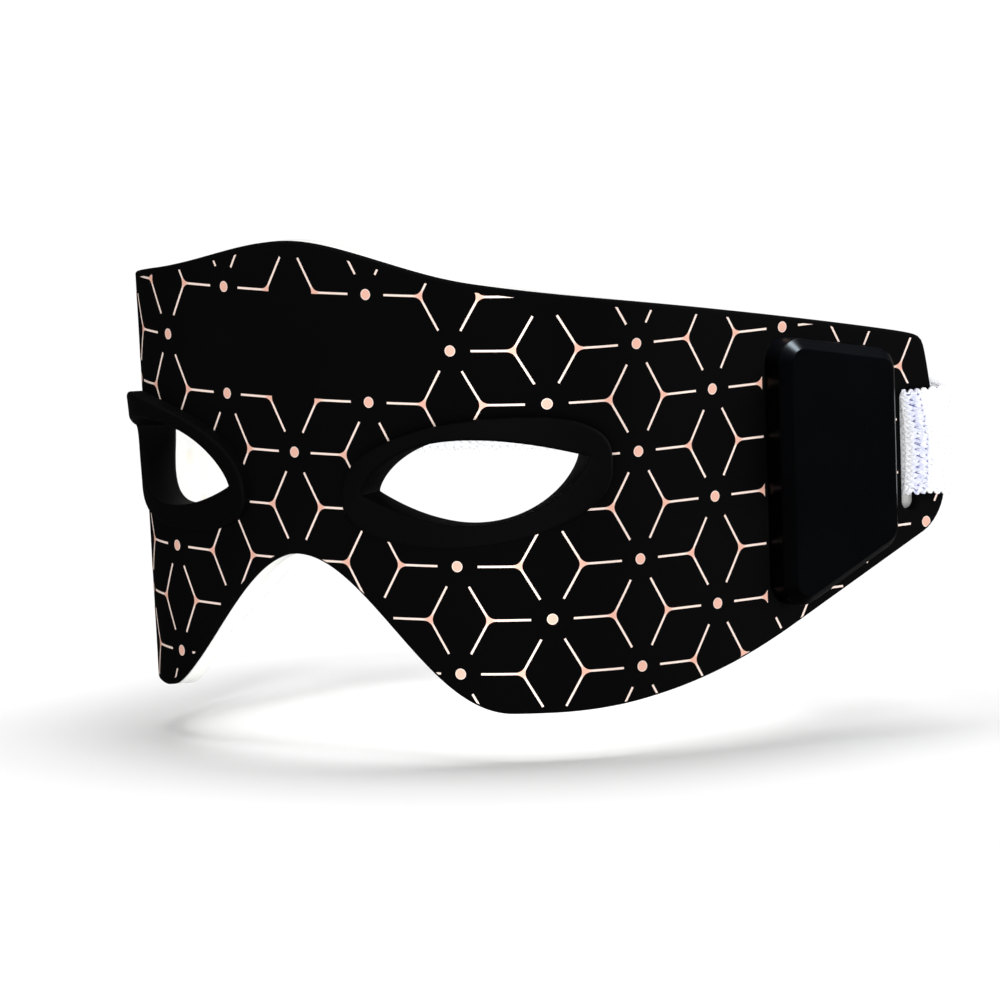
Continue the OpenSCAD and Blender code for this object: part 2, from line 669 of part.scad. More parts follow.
module charge_socket() {
  color(steel) on_wall(socket_x, socket_z) {
    difference() {
      oval_bar(socket_w, socket_t, 0.3, socket_len);
      oval_bar(socket_w - 2 * shell_t, socket_t - 2 * shell_t, 0, socket_len - 1);
    }
    block(socket_w - 2.4, 2 * shell_t, 0.9, socket_len - 0.5);
  }
}
module button_switch() {
  color(steel) on_wall(button_x, board_h) {
    translate([-2.3, switch_y + 0.7, 0]) cube([4.6, 3.2, 1.9]);
    translate([-stem_w / 2, switch_y, stem_h]) cube([stem_w, 0.8, stem_t]);
  }
}
module power_button() {
  color(black) on_wall(button_x, button_z) {
    oval_bar(button_w, button_t, -button_out, case_wall + 0.3);
    oval_bar(button_w + 2 * flange_w, button_t + 0.1, case_wall + seat, case_wall + 0.7);
    translate([0, 0, board_h + stem_h + stem_t / 2 - button_z])
      block(stem_w, stem_t, case_wall + 0.5, plunger_end);
  }
}
module status_light() {
  color([0.9, 0.95, 0.9]) on_wall(light_x, button_z)
    rotate([-90, 0, 0]) cylinder(h = light_end, r = light_r);
}

module battery() {
  color([0.75, 0.76, 0.79]) on_temple() translate([0, 0, floor_h + pad_t + seat])
    plate(battery_shape(), 0, battery_t);
}
function battery_shape() = rounded(
  [for (p = box_of(battery_w, battery_h)) p + [battery_mid, battery_z + battery_h / 2]], 0.8);
module battery_pad() {
  color([0.2, 0.2, 0.2]) on_temple()
    translate([battery_mid - battery_w * 0.35, battery_z + 2, floor_h])
      cube([battery_w * 0.7, battery_h - 4, pad_t]);
}
module battery_leads() {
  lead_r = 0.4;
  rise = 1.2;
  for (side = [-1, 1]) color(side > 0 ? "red" : "black")
    on_temple() translate([battery_mid + 1.6 * side, board_top_z - 1, board_h]) {
      cylinder(h = rise, r = lead_r);
      translate([0, 0, rise]) {
        sphere(r = lead_r);
        rotate([-90, 0, 0]) cylinder(h = battery_z - board_top_z + 1 - seat, r = lead_r);
      }
    }
}

// Strap, seen from above: an even bow behind the head, then through the slot from the inner side,
// over the end of the sheet and back along the outside of the bow
function flat_at(s, h) = let (p = at(s, 0, -h)) [p[0], p[1]];
strap_off = run + strap_t / 2;
strap_z = slot_z + slot_h / 2 - run - strap_w / 2;
leave = flat_at(half_len + 1.8, -sheet_t - strap_off - 0.4);
bow_r = leave[0] / sin(strap_turn);
bow_mid = [0, leave[1] - bow_r * cos(strap_turn)];
layer_gap = strap_t + hook_t + 4 * seat;
knee_r = 1.1;
function bow_at(r, a) = bow_mid + r * [cos(a), sin(a)];
leave_a = 90 - strap_turn;
slot_mid = slot_s + slot_w / 2;
tail_r = bow_r + layer_gap;
knee = [
  bow_at(bow_r, leave_a + 1), leave,
  flat_at(slot_mid, -sheet_t - strap_off), flat_at(slot_mid, strap_off),
  flat_at(half_len + strap_off, strap_off), bow_at(tail_r, leave_a)
];
strap_half = concat(
  [for (i = [0:12]) bow_at(bow_r, mix(90, leave_a + 2, i / 12))],
  [for (i = [1:4]) each fillet(knee[i - 1], knee[i], knee[i + 1], knee_r)],
  [for (i = [0:6]) bow_at(tail_r, leave_a + tail_len / tail_r * rad * i / 6)]
);
function flipped(p) = [for (i = [len(p) - 1:-1:0]) [-p[i][0], p[i][1]]];
strap_path = concat(flipped([for (i = [1:len(strap_half) - 1]) strap_half[i]]), strap_half);
// The path moved sideways by h
function beside(p, h) = let (n = len(p) - 1) [
  for (i = [0:n])
    let (t = unit(p[min(i + 1, n)] - p[max(i - 1, 0)])) p[i] + h * [-t[1], t[0]]
];
module head_strap() {
  near = beside(strap_path, strap_t / 2);
  far = beside(strap_path, -strap_t / 2);
  outline = concat(far, [for (i = [len(near) - 1:-1:0]) near[i]]);
  color(white) plate(outline, strap_z - strap_w / 2, strap_z + strap_w / 2);
}
module hook_tape_left() {
  r = bow_r + strap_t / 2 + 2 * seat;
  a = [for (i = [0:8]) leave_a + 3 + hook_len / r * rad * i / 8];
  color([0.85, 0.85, 0.86])
    plate(concat([for (b = a) bow_at(r + hook_t, b)], [for (i = [8:-1:0]) bow_at(r, a[i])]),
      strap_z - strap_w / 2 + 1, strap_z + strap_w / 2 - 1);
}
module hook_tape_right() {
  mirror([1, 0, 0]) hook_tape_left();
}

outer_skin();
light_liner();
flex_circuit();
brow_lights();
cheek_lights_right();
cheek_lights_left();
eye_rim_right();
eye_rim_left();
rim_clip_right();
rim_clip_left();
controller_cover();
controller_base();
control_board();
board_chips();
flex_connector();
charge_socket();
button_switch();
power_button();
status_light();
battery();
battery_pad();
battery_leads();
case_screws();
head_strap();
hook_tape_right();
hook_tape_left();
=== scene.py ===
"""Looks of a light therapy eye mask: a bent silicone sheet with raised eye rims, a printed lattice,
a controller on the left temple and a knitted head strap.

Flat pieces are laid out unrolled, as (length along the sheet, depth, height), in millimetres, and
one Geometry Nodes group bends all of them onto the wearer's face, as the CAD sheet is bent."""

import math

import bpy
import numpy as np
from mathutils import Matrix, Vector
from mathutils.geometry import delaunay_2d_cdt


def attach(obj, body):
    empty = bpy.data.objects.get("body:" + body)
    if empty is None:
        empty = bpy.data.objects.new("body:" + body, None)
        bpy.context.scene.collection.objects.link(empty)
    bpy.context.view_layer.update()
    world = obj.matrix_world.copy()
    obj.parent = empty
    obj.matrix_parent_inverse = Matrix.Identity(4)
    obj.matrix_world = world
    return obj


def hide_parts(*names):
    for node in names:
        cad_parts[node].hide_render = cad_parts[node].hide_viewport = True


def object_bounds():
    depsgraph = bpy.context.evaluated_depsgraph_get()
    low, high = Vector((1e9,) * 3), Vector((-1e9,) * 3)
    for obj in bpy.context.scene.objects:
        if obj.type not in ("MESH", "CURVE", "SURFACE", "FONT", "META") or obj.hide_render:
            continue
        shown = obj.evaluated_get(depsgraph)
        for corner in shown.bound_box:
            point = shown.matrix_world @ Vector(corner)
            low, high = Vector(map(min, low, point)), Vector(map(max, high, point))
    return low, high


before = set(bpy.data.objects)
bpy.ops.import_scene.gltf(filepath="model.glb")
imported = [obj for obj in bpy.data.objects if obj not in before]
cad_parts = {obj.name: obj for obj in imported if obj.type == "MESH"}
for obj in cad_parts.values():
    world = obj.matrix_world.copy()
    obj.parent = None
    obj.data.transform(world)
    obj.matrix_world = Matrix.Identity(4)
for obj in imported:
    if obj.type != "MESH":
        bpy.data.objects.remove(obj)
cad_box = [list(corner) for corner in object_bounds()]

bl_info = {
    "name": "Light therapy eye mask",
    "version": (1, 0, 0),
    "blender": (4, 5, 0),
    "location": "View3D > Sidebar > Eye Mask",
    "description": "Builds the pieces, finishes and stage of a light therapy eye mask",
    "category": "Object",
}

MM = 0.001

# Sizes of the CAD model, in millimetres and degrees. Lengths run along the flat sheet from its
# middle, heights from the top of the nose arch.
SHEET_T, SKIN_T, LINER_T, SEAT = 5.0, 1.4, 2.0, 0.05
BEND_LEN, BEND_TURN = (28.0, 34.0, 26.0), (16.0, 54.0, 9.0)
BULGE, LEAN, BULGE_STOP = 1.0, 0.025, 0.115
HALF_LEN, END_R, END_STEP, END_LEAN, END_BLEND = 129.2, 5.0, 7.0, 0.16, 4.0
CHEEK_DROP, CHEEK_S, CHEEK_FLAT, RISE_LEN, RISE_SLOPE = 25.6, 43.0, 3.0, 49.0, 0.43
BROW_H, TEMPLE_H, BROW_BOW, BROW_SOFT, CREST_H, CREST_LEN = 49.9, 31.7, 1.0, 8.0, 2.6, 35.0
SLOT, SLOT_H, SLOT_Z, SLOT_R = (119.6, 122.8), 20.4, 11.9, 1.4
CASE_S, CASE_LEN, CASE_MARGIN = 89.4, 25.8, 3.4
CASE_H, CASE_BEVEL, CASE_R, CASE_WALL = 5.3, 1.7, 4.2, 1.2
STRAP_W, STRAP_T, STRAP_TURN, TAIL_LEN, HOOK_T = 18.0, 1.4, 40.0, 34.0, 1.0
LED_PITCH, LED_W = 10.4, 2.8

# Corners of the eye openings and of the rims, and the lids between them as (height, power of the
# curve at the nose, power at the temple)
EYE_IN, EYE_OUT, RIM_IN, RIM_OUT = (14.4, 10.8), (53.0, 17.3), (10.5, 9.7), (57.0, 15.2)
EYE_UP, RIM_UP = (6.8, 0.65, 1.05), (11.2, 0.4, 0.35)
EYE_DOWN, RIM_DOWN = (8.3, 1, 0.65), (10.0, 0.45, 0.4)
RIM_W, RIM_H, RIM_TAPER, RIM_ROUND = 4.2, 3.0, 0.2, 0.75

# Outlines round an eye, as shares of the way from the opening's edge to the rim's outer edge
NECK_W, OPEN_W, CIRCUIT_W, PRINT_W = 0.28, 0.33, 0.86, 0.94

# The controller's lower wall: places along it, and sizes
BOARD_H, LIGHT_R, LIGHT_X = 0.4, 0.8, 1.0
BUTTON_W, BUTTON_T, BUTTON_OUT, BUTTON_GAP = 6.0, 2.4, 0.6, 0.3
BUTTON_ROUND, FLANGE_W, FLANGE_T, STEM_W, STEM_T, STEM_LEN = 0.35, 1.2, 0.7, 1.6, 0.8, 1.4
SOCKET_W, SOCKET_T, SOCKET_GAP = 8.9, 3.2, 0.2
BUTTON_H, SOCKET_H = BOARD_H + BUTTON_T / 2, BOARD_H + SOCKET_T / 2
SOCKET_X = LIGHT_X + LIGHT_R + 0.4 + (SOCKET_W + SOCKET_GAP) / 2
BUTTON_X = LIGHT_X - LIGHT_R - 0.4 - 0.6 - BUTTON_W / 2

# The liner's lip round the circuit, its dimples, and the opening in the skin under the controller
LINER_EDGE, LINER_ROUND, CIRCUIT_IN, DIMPLE_R, WINDOW_IN = 2.6, 0.9, 3.2, 2.6, 1.8

# The print: height of its middle row and of its upper limit, margin from the sheet's edge, depths
# of its faces, the unprinted area round the controller as (from, to, margin), and the distances of
# a line's end from the next dot as shares of the spacing
LATTICE_Z, PRINT_TOP, PRINT_EDGE, PRINT_LEAN = 17.2, 50.0, 0.8, 0.4
PRINT_FRONT, PRINT_BACK = -0.05, 0.03
CASE_BARE = (88.75, 118.25, 3.1)
LINE_GAP, SLANT_GAP = 0.196, 0.215

# The strap's distance from the sheet, and where it passes through its slot
STRAP_GAP, STRAP_S = 0.3, SLOT[1] - STRAP_T / 2 - 0.12

# The photograph's camera: where it looks from, in degrees, its place to the right of, above and
# behind the outer face at the lattice's height, and its lens
PHOTO_TURN, PHOTO_RISE, PHOTO_ROLL = 39.605, 7.026, 1.678
PHOTO_PLACE, PHOTO_LENS = (34.04, -9.01, 1770.4), 381.8

# Lights as (direction from the mask, spread in degrees)
SUNS = {
    "top_light": ((-0.05, 0.11, 1), 56),
    "front_light": ((0.5, -0.85, 0), 60),
    "inner_light": ((0.45, 0.9, 0.12), 40),
    "corner_glint": ((0.39, 0.08, 0.91), 22),
}


# Outline of the flat sheet

def mix(a, b, w):
    return a + (b - a) * w


def ray(angle):
    return np.array([math.cos(angle), math.sin(angle)])


def low_line(s):
    """The lower edge: it drops from the nose arch to the cheek, and rises to the temple."""
    if s < CHEEK_S - CHEEK_FLAT:
        return -CHEEK_DROP * (1 - math.cos(math.pi * s / (CHEEK_S - CHEEK_FLAT))) / 2
    past = s - CHEEK_S - CHEEK_FLAT
    if past < 0:
        return -CHEEK_DROP
    rise = past ** 2 / (2 * RISE_LEN) if past < RISE_LEN else past - RISE_LEN / 2
    return -CHEEK_DROP + RISE_SLOPE * rise


def low_z(s):
    """The lower edge, with the rounded corner at its end."""
    past = s - HALF_LEN + END_R
    return low_line(s) + (END_R - math.sqrt(max(0, END_R ** 2 - past ** 2)) if past > 0 else 0)


def top_z(s):
    """The upper edge, from the crest over the nose to the sloping end."""
    u = (math.hypot(s, BROW_SOFT) - BROW_SOFT) / (math.hypot(SLOT[1], BROW_SOFT) - BROW_SOFT)
    crest = CREST_H * (1 + math.cos(math.pi * s / CREST_LEN)) / 2 if s < CREST_LEN else 0
    brow = mix(BROW_H, TEMPLE_H, u) + 4 * BROW_BOW * u * (1 - u) + crest
    end = low_line(HALF_LEN) + END_STEP + (HALF_LEN - s) / END_LEAN
    return (brow + end - math.hypot(brow - end, END_BLEND)) / 2


def steep(line, s):
    """How much longer the edge is there than its length along the sheet."""
    step = 0.1
    return math.hypot(1, (line(max(s, step) + step) - line(max(s - step, 0))) / (2 * step))


def top_in(s, w):
    return top_z(s) - w * steep(top_z, s)


def low_in(s, w):
    return low_z(s) + w * steep(low_z, s)


def even_loop(points, spacing):
    """A closed outline sampled again at even distances."""
    p = np.asarray(points, float)
    p = np.vstack([p, p[:1]])
    run = np.concatenate([[0], np.cumsum(np.linalg.norm(np.diff(p, axis=0), axis=1))])
    n = int(run[-1] / spacing)
    at = np.linspace(0, run[-1], n, endpoint=False)
    return np.stack([np.interp(at, run, p[:, k]) for k in (0, 1)], axis=1)


def sheet_outline():
    """The whole outline, anticlockwise as seen from the front, in steps of 1 mm."""
    tip = 8
    near = np.arange(0, HALF_LEN - tip, 0.5)
    last = HALF_LEN - tip * (1 - np.sin(np.linspace(0, math.pi / 2, 300)))
    s = np.concatenate([near, last])
    right = [(v, low_z(v)) for v in s] + [(v, top_z(v)) for v in s[::-1]]
    left = [(-a, b) for a, b in right[::-1]]
    return even_loop(right + left[1:-1], 1.0)


def leftward(loop):
    """Unit vectors to the left of a closed outline, which is the side of the material."""
    t = np.roll(loop, -1, axis=0) - np.roll(loop, 1, axis=0)
    t /= np.linalg.norm(t, axis=1)[:, None]
    return np.stack([-t[:, 1], t[:, 0]], axis=1)


def shifted(loop, w):
    """A closed outline moved into its material by w."""
    return loop + w * leftward(loop)


def on_side(points, side):
    """An outline of the left half, or the same one on the right."""
    return points if side > 0 else (points * (-1, 1))[::-1]


def hump(u, height, p, q):
    m = p / (p + q)
    return height * (u ** p * (1 - u) ** q / (m ** p * (1 - m) ** q))


def lids(u, w):
    """Upper and lower height of the outline w round an eye, at share u of its length."""
    eye, rim = mix(EYE_IN[1], EYE_OUT[1], u), mix(RIM_IN[1], RIM_OUT[1], u)
    return (mix(eye + hump(u, *EYE_UP), rim + hump(u, *RIM_UP), w),
            mix(eye - hump(u, *EYE_DOWN), rim - hump(u, *RIM_DOWN), w))


def eye_ring(w, side=1, n=60):
    """Outline round an eye: w is 0 on the edge of the opening and 1 on the rim's outer edge."""
    points = []
    for i in range(2 * n):
        over = i <= n
        u = (1 - math.cos(math.pi * (i if over else 2 * n - i) / n)) / 2
        s = mix(mix(EYE_IN[0], EYE_OUT[0], u), mix(RIM_IN[0], RIM_OUT[0], u), w)
        points.append((s, lids(u, w)[0 if over else 1]))
    return on_side(np.array(points), side)


def slot_ring(side=1, grow=0.0):
    """Outline of a strap slot, grown on every side."""
    a, b, r = SLOT[0] - grow, SLOT[1] + grow, SLOT_R
    low, high = SLOT_Z - SLOT_H / 2 - grow, SLOT_Z + SLOT_H / 2 + grow
    points = []
    for x, z, start in ((a + r, high - r, 90), (b - r, high - r, 0),
                        (b - r, low + r, -90), (a + r, low + r, -180)):
        for k in range(9):
            turn = math.radians(start + 90 - 90 * k / 8)
            points.append((x + r * math.cos(turn), z + r * math.sin(turn)))
    return on_side(even_loop(points, 0.5), side)


def temple_quad(a, b, w):
    """Corners of the area from length a to b, w inside the sheet's edges, anticlockwise."""
    return [(a, low_in(a, w)), (b, low_in(b, w)), (b, top_in(b, w)), (a, top_in(a, w))]


def as_hole(quad):
    """The same corners clockwise, from the same first one."""
    return [quad[-i] for i in range(len(quad))]


# Meshes laid out flat

def in_loop(points, loop):
    """Whether each point lies in a closed outline."""
    x, y = points[:, 0], points[:, 1]
    inside = np.zeros(len(points), bool)
    for (x0, y0), (x1, y1) in zip(loop, np.roll(loop, -1, axis=0)):
        if y0 != y1:
            inside ^= ((y0 > y) != (y1 > y)) & (x < (x1 - x0) * (y - y0) / (y1 - y0) + x0)
    return inside


def near_loop(points, loop, reach):
    close = np.zeros(len(points), bool)
    for q in loop:
        close |= np.abs(points - q).max(axis=1) < reach
    return close


class Flat:
    """A mesh in the flat layout: points are (length, depth, height)."""

    def __init__(self):
        self.verts = []
        self.faces = []

    def add(self, points):
        start = len(self.verts)
        self.verts.extend([tuple(map(float, p)) for p in points])
        return list(range(start, len(self.verts)))

    def ring(self, loop, depth):
        return self.add([(s, depth, z) for s, z in loop])

    def wall(self, front, back):
        """Faces between two rings of a closed outline. The first is nearer the front."""
        for j, k in zip(range(len(front)), [*range(1, len(front)), 0]):
            self.faces.append((front[j], back[j], back[k], front[k]))

    def walls(self, rings):
        for front, back in zip(rings, rings[1:]):
            self.wall(front, back)

    def fill(self, rings, depth, pitch, front=True):
        """Fills the area left of the rings with triangles of about the given pitch."""
        loops = [np.array([(self.verts[i][0], self.verts[i][2]) for i in ring]) for ring in rings]

        def in_material(points):
            keep = in_loop(points, loops[0])
            for hole in loops[1:]:
                keep &= ~in_loop(points, hole)
            return keep
        low, high = loops[0].min(axis=0), loops[0].max(axis=0)
        rise = pitch * math.sqrt(3) / 2
        grid = np.array([
            (x + (pitch / 2 if row % 2 else 0), low[1] + row * rise)
            for row in range(int((high[1] - low[1]) / rise) + 1)
            for x in np.arange(low[0], high[0], pitch)])
        keep = in_material(grid)
        for loop in loops:
            keep &= ~near_loop(grid, loop, 0.6 * pitch)
        owners = [i for ring in rings for i in ring] + self.ring(grid[keep], depth)
        places = [Vector((self.verts[i][0], self.verts[i][2])) for i in owners]
        edges, start = [], 0
        for loop in loops:
            n = len(loop)
            edges += [(start + j, start + (j + 1) % n) for j in range(n)]
            start += n
        out, _, faces, origins, _, _ = delaunay_2d_cdt(places, edges, [], 1, 1e-7)
        centres = np.array([np.mean([out[i] for i in f], axis=0) for f in faces])
        for face, kept in zip(faces, in_material(centres)):
            if kept:
                a, b, c = (owners[origins[i][0]] for i in face)
                self.faces.append((a, b, c) if front else (a, c, b))

    def piece(self, name):
        mesh = bpy.data.meshes.new(name)
        mesh.from_pydata([(x * MM, y * MM, z * MM) for x, y, z in self.verts], [], self.faces)
        mesh.validate()
        mesh.update()
        obj = bpy.data.objects.new(name, mesh)
        bpy.context.scene.collection.objects.link(obj)
        return obj


def plate(loops, front_pitch, back_pitch):
    """A flat sheet inside the first outline, with the others as holes. Each outline has its own
    edge, as steps of (distance into the material, depth) from the front to the back."""
    flat = Flat()
    fronts, backs = [], []
    for loop, edge in loops:
        rings = [flat.ring(shifted(loop, w) if w else loop, d) for w, d in edge]
        flat.walls(rings)
        fronts.append(rings[0])
        backs.append(rings[-1])
    edge = loops[0][1]
    flat.fill(fronts, edge[0][1], front_pitch)
    flat.fill(backs, edge[-1][1], back_pitch, front=False)
    return flat


def corner(a, c, b, r, n):
    """Points round the corner at c on the way from a to b, on an arc of radius r in n steps."""
    a_len, b_len = np.linalg.norm(a - c), np.linalg.norm(b - c)
    u, v = (a - c) / a_len, (b - c) / b_len
    half = math.acos(max(-1, min(1, u @ v))) / 2
    reach = min(r / math.tan(half), 0.45 * a_len, 0.45 * b_len)
    radius = reach * math.tan(half)
    middle = c + (u + v) / np.linalg.norm(u + v) * radius / math.sin(half)
    start, end = c + u * reach - middle, c + v * reach - middle
    a0, a1 = math.atan2(start[1], start[0]), math.atan2(end[1], end[0])
    turn = (a1 - a0 + math.pi) % (2 * math.pi) - math.pi
    return [middle + radius * ray(a0 + turn * k / n) for k in range(n + 1)]


def rounded_path(points, r, n=5):
    """An open path whose inner corners are rounded."""
    p = [np.array(q, float) for q in points]
    inner = [q for a, c, b in zip(p, p[1:], p[2:]) for q in corner(a, c, b, r, n)]
    return [p[0], *inner, p[-1]]


# Node trees

class Wire:
    """A node's output that takes ordinary arithmetic. Each sign adds a Math node to the tree."""

    def __init__(self, nodes, socket):
        self.nodes = nodes
        self.socket = socket

    def __add__(self, other):
        return self.nodes.math("ADD", self, other)

    def __sub__(self, other):
        return self.nodes.math("SUBTRACT", self, other)

    def __rsub__(self, other):
        return self.nodes.math("SUBTRACT", other, self)

    def __mul__(self, other):
        return self.nodes.math("MULTIPLY", self, other)

    def __truediv__(self, other):
        return self.nodes.math("DIVIDE", self, other)

    __radd__, __rmul__ = __add__, __mul__


class Nodes:
    """Short calls for building a node tree."""

    def __init__(self, tree):
        self.tree = tree

    def new(self, kind, **settings):
        node = self.tree.nodes.new(kind)
        for key, value in settings.items():
            setattr(node, key, value)
        return node

    def set(self, socket, value):
        if isinstance(value, Wire):
            value = value.socket
        if isinstance(value, bpy.types.NodeSocket):
            self.tree.links.new(value, socket)
        else:
            socket.default_value = value

    def call(self, kind, inputs=None, output=0, **settings):
        """A node with these inputs, by name or number. Gives one of its outputs."""
        node = self.new(kind, **settings)
        for key, value in (inputs or {}).items():
            self.set(node.inputs[key], value)
        return Wire(self, node.outputs[output])

    def given(self):
        """The tree's own inputs, by name."""
        return {o.name: Wire(self, o) for o in self.new("NodeGroupInput").outputs}

    def math(self, operation, *values):
        return self.call("ShaderNodeMath", dict(enumerate(values)), operation=operation)

    def sine(self, angle):
        return self.math("SINE", angle)

    def cosine(self, angle):
        return self.math("COSINE", angle)

    def size(self, value):
        return self.math("ABSOLUTE", value)

    def within(self, value, low, high):
        return self.math("MINIMUM", self.math("MAXIMUM", value, low), high)

    def ramp(self, value, start, end, low=0.0, high=1.0, **settings):
        inputs = {"Value": value, "From Min": start, "From Max": end, "To Min": low, "To Max": high}
        return self.call("ShaderNodeMapRange", inputs, **settings)

    def vector(self, x, y, z):
        return self.call("ShaderNodeCombineXYZ", {"X": x, "Y": y, "Z": z})

    def split(self, vector):
        node = self.new("ShaderNodeSeparateXYZ")
        self.set(node.inputs[0], vector)
        return [Wire(self, o) for o in node.outputs]

    def position(self):
        return self.call("GeometryNodeInputPosition")

    def mark(self, geometry, name, value, kind="FLOAT"):
        """The geometry with a named value stored on its points."""
        return self.call("GeometryNodeStoreNamedAttribute", {
            "Geometry": geometry, "Name": name, "Value": value}, data_type=kind, domain="POINT")

    def read(self, name):
        """A stored value, in a geometry tree."""
        return self.call("GeometryNodeInputNamedAttribute", {"Name": name}, "Attribute",
                         data_type="FLOAT")

    def attribute(self, name, output="Fac"):
        """A stored value, in a material."""
        return self.call("ShaderNodeAttribute", None, output, attribute_name=name)


def socket(tree, name, kind, default=None, output=False):
    item = tree.interface.new_socket(
        name=name, in_out="OUTPUT" if output else "INPUT", socket_type="NodeSocket" + kind)
    if default is not None:
        item.default_value = default


def geometry_tree(name):
    tree = bpy.data.node_groups.new(name, "GeometryNodeTree")
    socket(tree, "Geometry", "Geometry")
    socket(tree, "Geometry", "Geometry", output=True)
    return tree


def make_face_bend():
    """A group that bends a flat layout back round the face on three arcs and a straight end."""
    tree = geometry_tree("face_bend")
    for part, length, turn in zip(("Brow", "Corner", "Temple"), BEND_LEN, BEND_TURN):
        socket(tree, part + " length", "Float", length * MM)
        socket(tree, part + " turn", "Float", math.radians(turn))
    for name, value in (("Bulge", BULGE * MM), ("Lean", LEAN), ("Lean height", EYE_IN[1] * MM),
                        ("Sheet thickness", SHEET_T * MM)):
        socket(tree, name, "Float", value)
    n = Nodes(tree)
    given = n.given()
    x, y, z = n.split(n.position())
    length = n.size(x)
    done = turned = along = back = heading = 0.0
    for part in ("Brow", "Corner", "Temple"):
        long, turn = given[part + " length"], given[part + " turn"]
        radius = long / turn
        angle = n.within(length - done, 0.0, long) / radius
        end = angle + turned
        along = radius * (n.sine(end) - n.sine(turned)) + along
        back = radius * (n.cosine(turned) - n.cosine(end)) + back
        heading = angle + heading
        done = long + done
        turned = turn + turned
    rest = n.math("MAXIMUM", length - done, 0.0)
    along += rest * n.cosine(turned)
    back += rest * n.sine(turned)

    # The temple swells outwards between the brow and the end of the last arc, and leans
    start = given["Brow length"] * 0.5
    span = done - given["Temple length"] * BULGE_STOP - start
    share = n.within((length - start) / span, 0.0, 1.0)
    wave = (1.0 - n.cosine(share * (2 * math.pi))) * 0.5
    depth = y - (given["Bulge"] + given["Lean"] * (z - given["Lean height"])) * wave
    new_x = n.math("SIGN", x) * (along - depth * n.sine(heading))
    new_y = back + depth * n.cosine(heading) - given["Sheet thickness"]
    bent = n.call("GeometryNodeSetPosition", {
        "Geometry": given["Geometry"], "Position": n.vector(new_x, new_y, z)})
    n.set(n.new("NodeGroupOutput").inputs["Geometry"], bent)
    return tree


def face_bend(n, geometry):
    """The bend group inside another tree."""
    tree = bpy.data.node_groups.get("face_bend") or make_face_bend()
    return n.call("GeometryNodeGroup", {"Geometry": geometry}, "Geometry", node_tree=tree)


def close_tree(n, geometry, finish):
    """Ends a tree with Realize Instances and Set Material."""
    real = n.call("GeometryNodeRealizeInstances", {"Geometry": geometry})
    done = n.call("GeometryNodeSetMaterial", {"Geometry": real, "Material": finish})
    n.set(n.new("NodeGroupOutput").inputs["Geometry"], done)


def sheet_piece_tree():
    """A tree that bends a flat piece and gives it its material."""
    tree = bpy.data.node_groups.get("sheet_piece")
    if tree is None:
        tree = geometry_tree("sheet_piece")
        socket(tree, "Material", "Material")
        n = Nodes(tree)
        given = n.given()
        close_tree(n, face_bend(n, given["Geometry"]), given["Material"])
    return tree


def grown(obj, tree, **values):
    """The object with its mesh taken through the node tree, as a plain mesh with no modifier."""
    modifier = obj.modifiers.new("nodes", "NODES")
    modifier.node_group = tree
    names = {i.name: i.identifier for i in tree.interface.items_tree if i.in_out == "INPUT"}
    for key, value in values.items():
        modifier[names[key.replace("_", " ").capitalize()]] = value
    bpy.context.view_layer.update()
    graph = bpy.context.evaluated_depsgraph_get()
    mesh = bpy.data.meshes.new_from_object(
        obj.evaluated_get(graph), preserve_all_data_layers=True, depsgraph=graph)
    obj.modifiers.clear()
    if obj.type == "MESH":
        old, obj.data = obj.data, mesh
        bpy.data.meshes.remove(old)
    else:
        name, old = obj.name, obj
        obj = bpy.data.objects.new(name, mesh)
        bpy.context.scene.collection.objects.link(obj)
        bpy.data.objects.remove(old)
        obj.name = name
    obj.data.name = obj.name
    return obj


def smoothed(obj, angle=None):
    obj.data.shade_smooth()
    if angle is not None:
        obj.data.set_sharp_from_angle(angle=math.radians(angle))
    return obj


def placed(obj, body, slot, *nodes):
    """Puts a finished piece on its body, in place of the CAD nodes that it stands for."""
    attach(obj, body)
    if nodes:
        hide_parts(*nodes)


# Materials

def grain_group():
    """Fine moulded grain: a height and a soft mask that varies over the surface."""
    tree = bpy.data.node_groups.get("moulded_grain")
    if tree is None:
        tree = bpy.data.node_groups.new("moulded_grain", "ShaderNodeTree")
        socket(tree, "Grain per metre", "Float", 5000.0)
        socket(tree, "Patch per metre", "Float", 60.0)
        socket(tree, "Height", "Float", output=True)
        socket(tree, "Mask", "Float", output=True)
        n = Nodes(tree)
        given = n.given()
        where = n.call("ShaderNodeTexCoord", None, "Object")
        out = n.new("NodeGroupOutput").inputs
        for name, scale, detail in (("Height", "Grain per metre", 2.0),
                                    ("Mask", "Patch per metre", 4.0)):
            n.set(out[name], n.call("ShaderNodeTexNoise", {
                "Vector": where, "Scale": given[scale], "Detail": detail}))
    return tree


def grain(n, fine, patch):
    node = n.new("ShaderNodeGroup", node_tree=grain_group())
    node.inputs["Grain per metre"].default_value = fine
    node.inputs["Patch per metre"].default_value = patch
    return Wire(n, node.outputs["Height"]), Wire(n, node.outputs["Mask"])


def ranged(n, mask, low, high):
    """A noise mask, moved to the range from low to high."""
    return n.ramp(mask, 0.3, 0.7, low, high)


def tinted(n, mask, dark, light):
    """A colour between the two, or between a colour and another socket's, by the mask."""
    node = n.new("ShaderNodeMix", data_type="RGBA")
    n.set(node.inputs[0], mask)
    for index, colour in ((6, dark), (7, light)):
        linked = isinstance(colour, (Wire, bpy.types.NodeSocket))
        n.set(node.inputs[index], colour if linked else (*colour, 1))
    return Wire(n, node.outputs[2])


def opened(material):
    """Calls for a finish's node tree, and the inputs of its shader."""
    return Nodes(material.node_tree), material.node_tree.nodes["Principled BSDF"].inputs


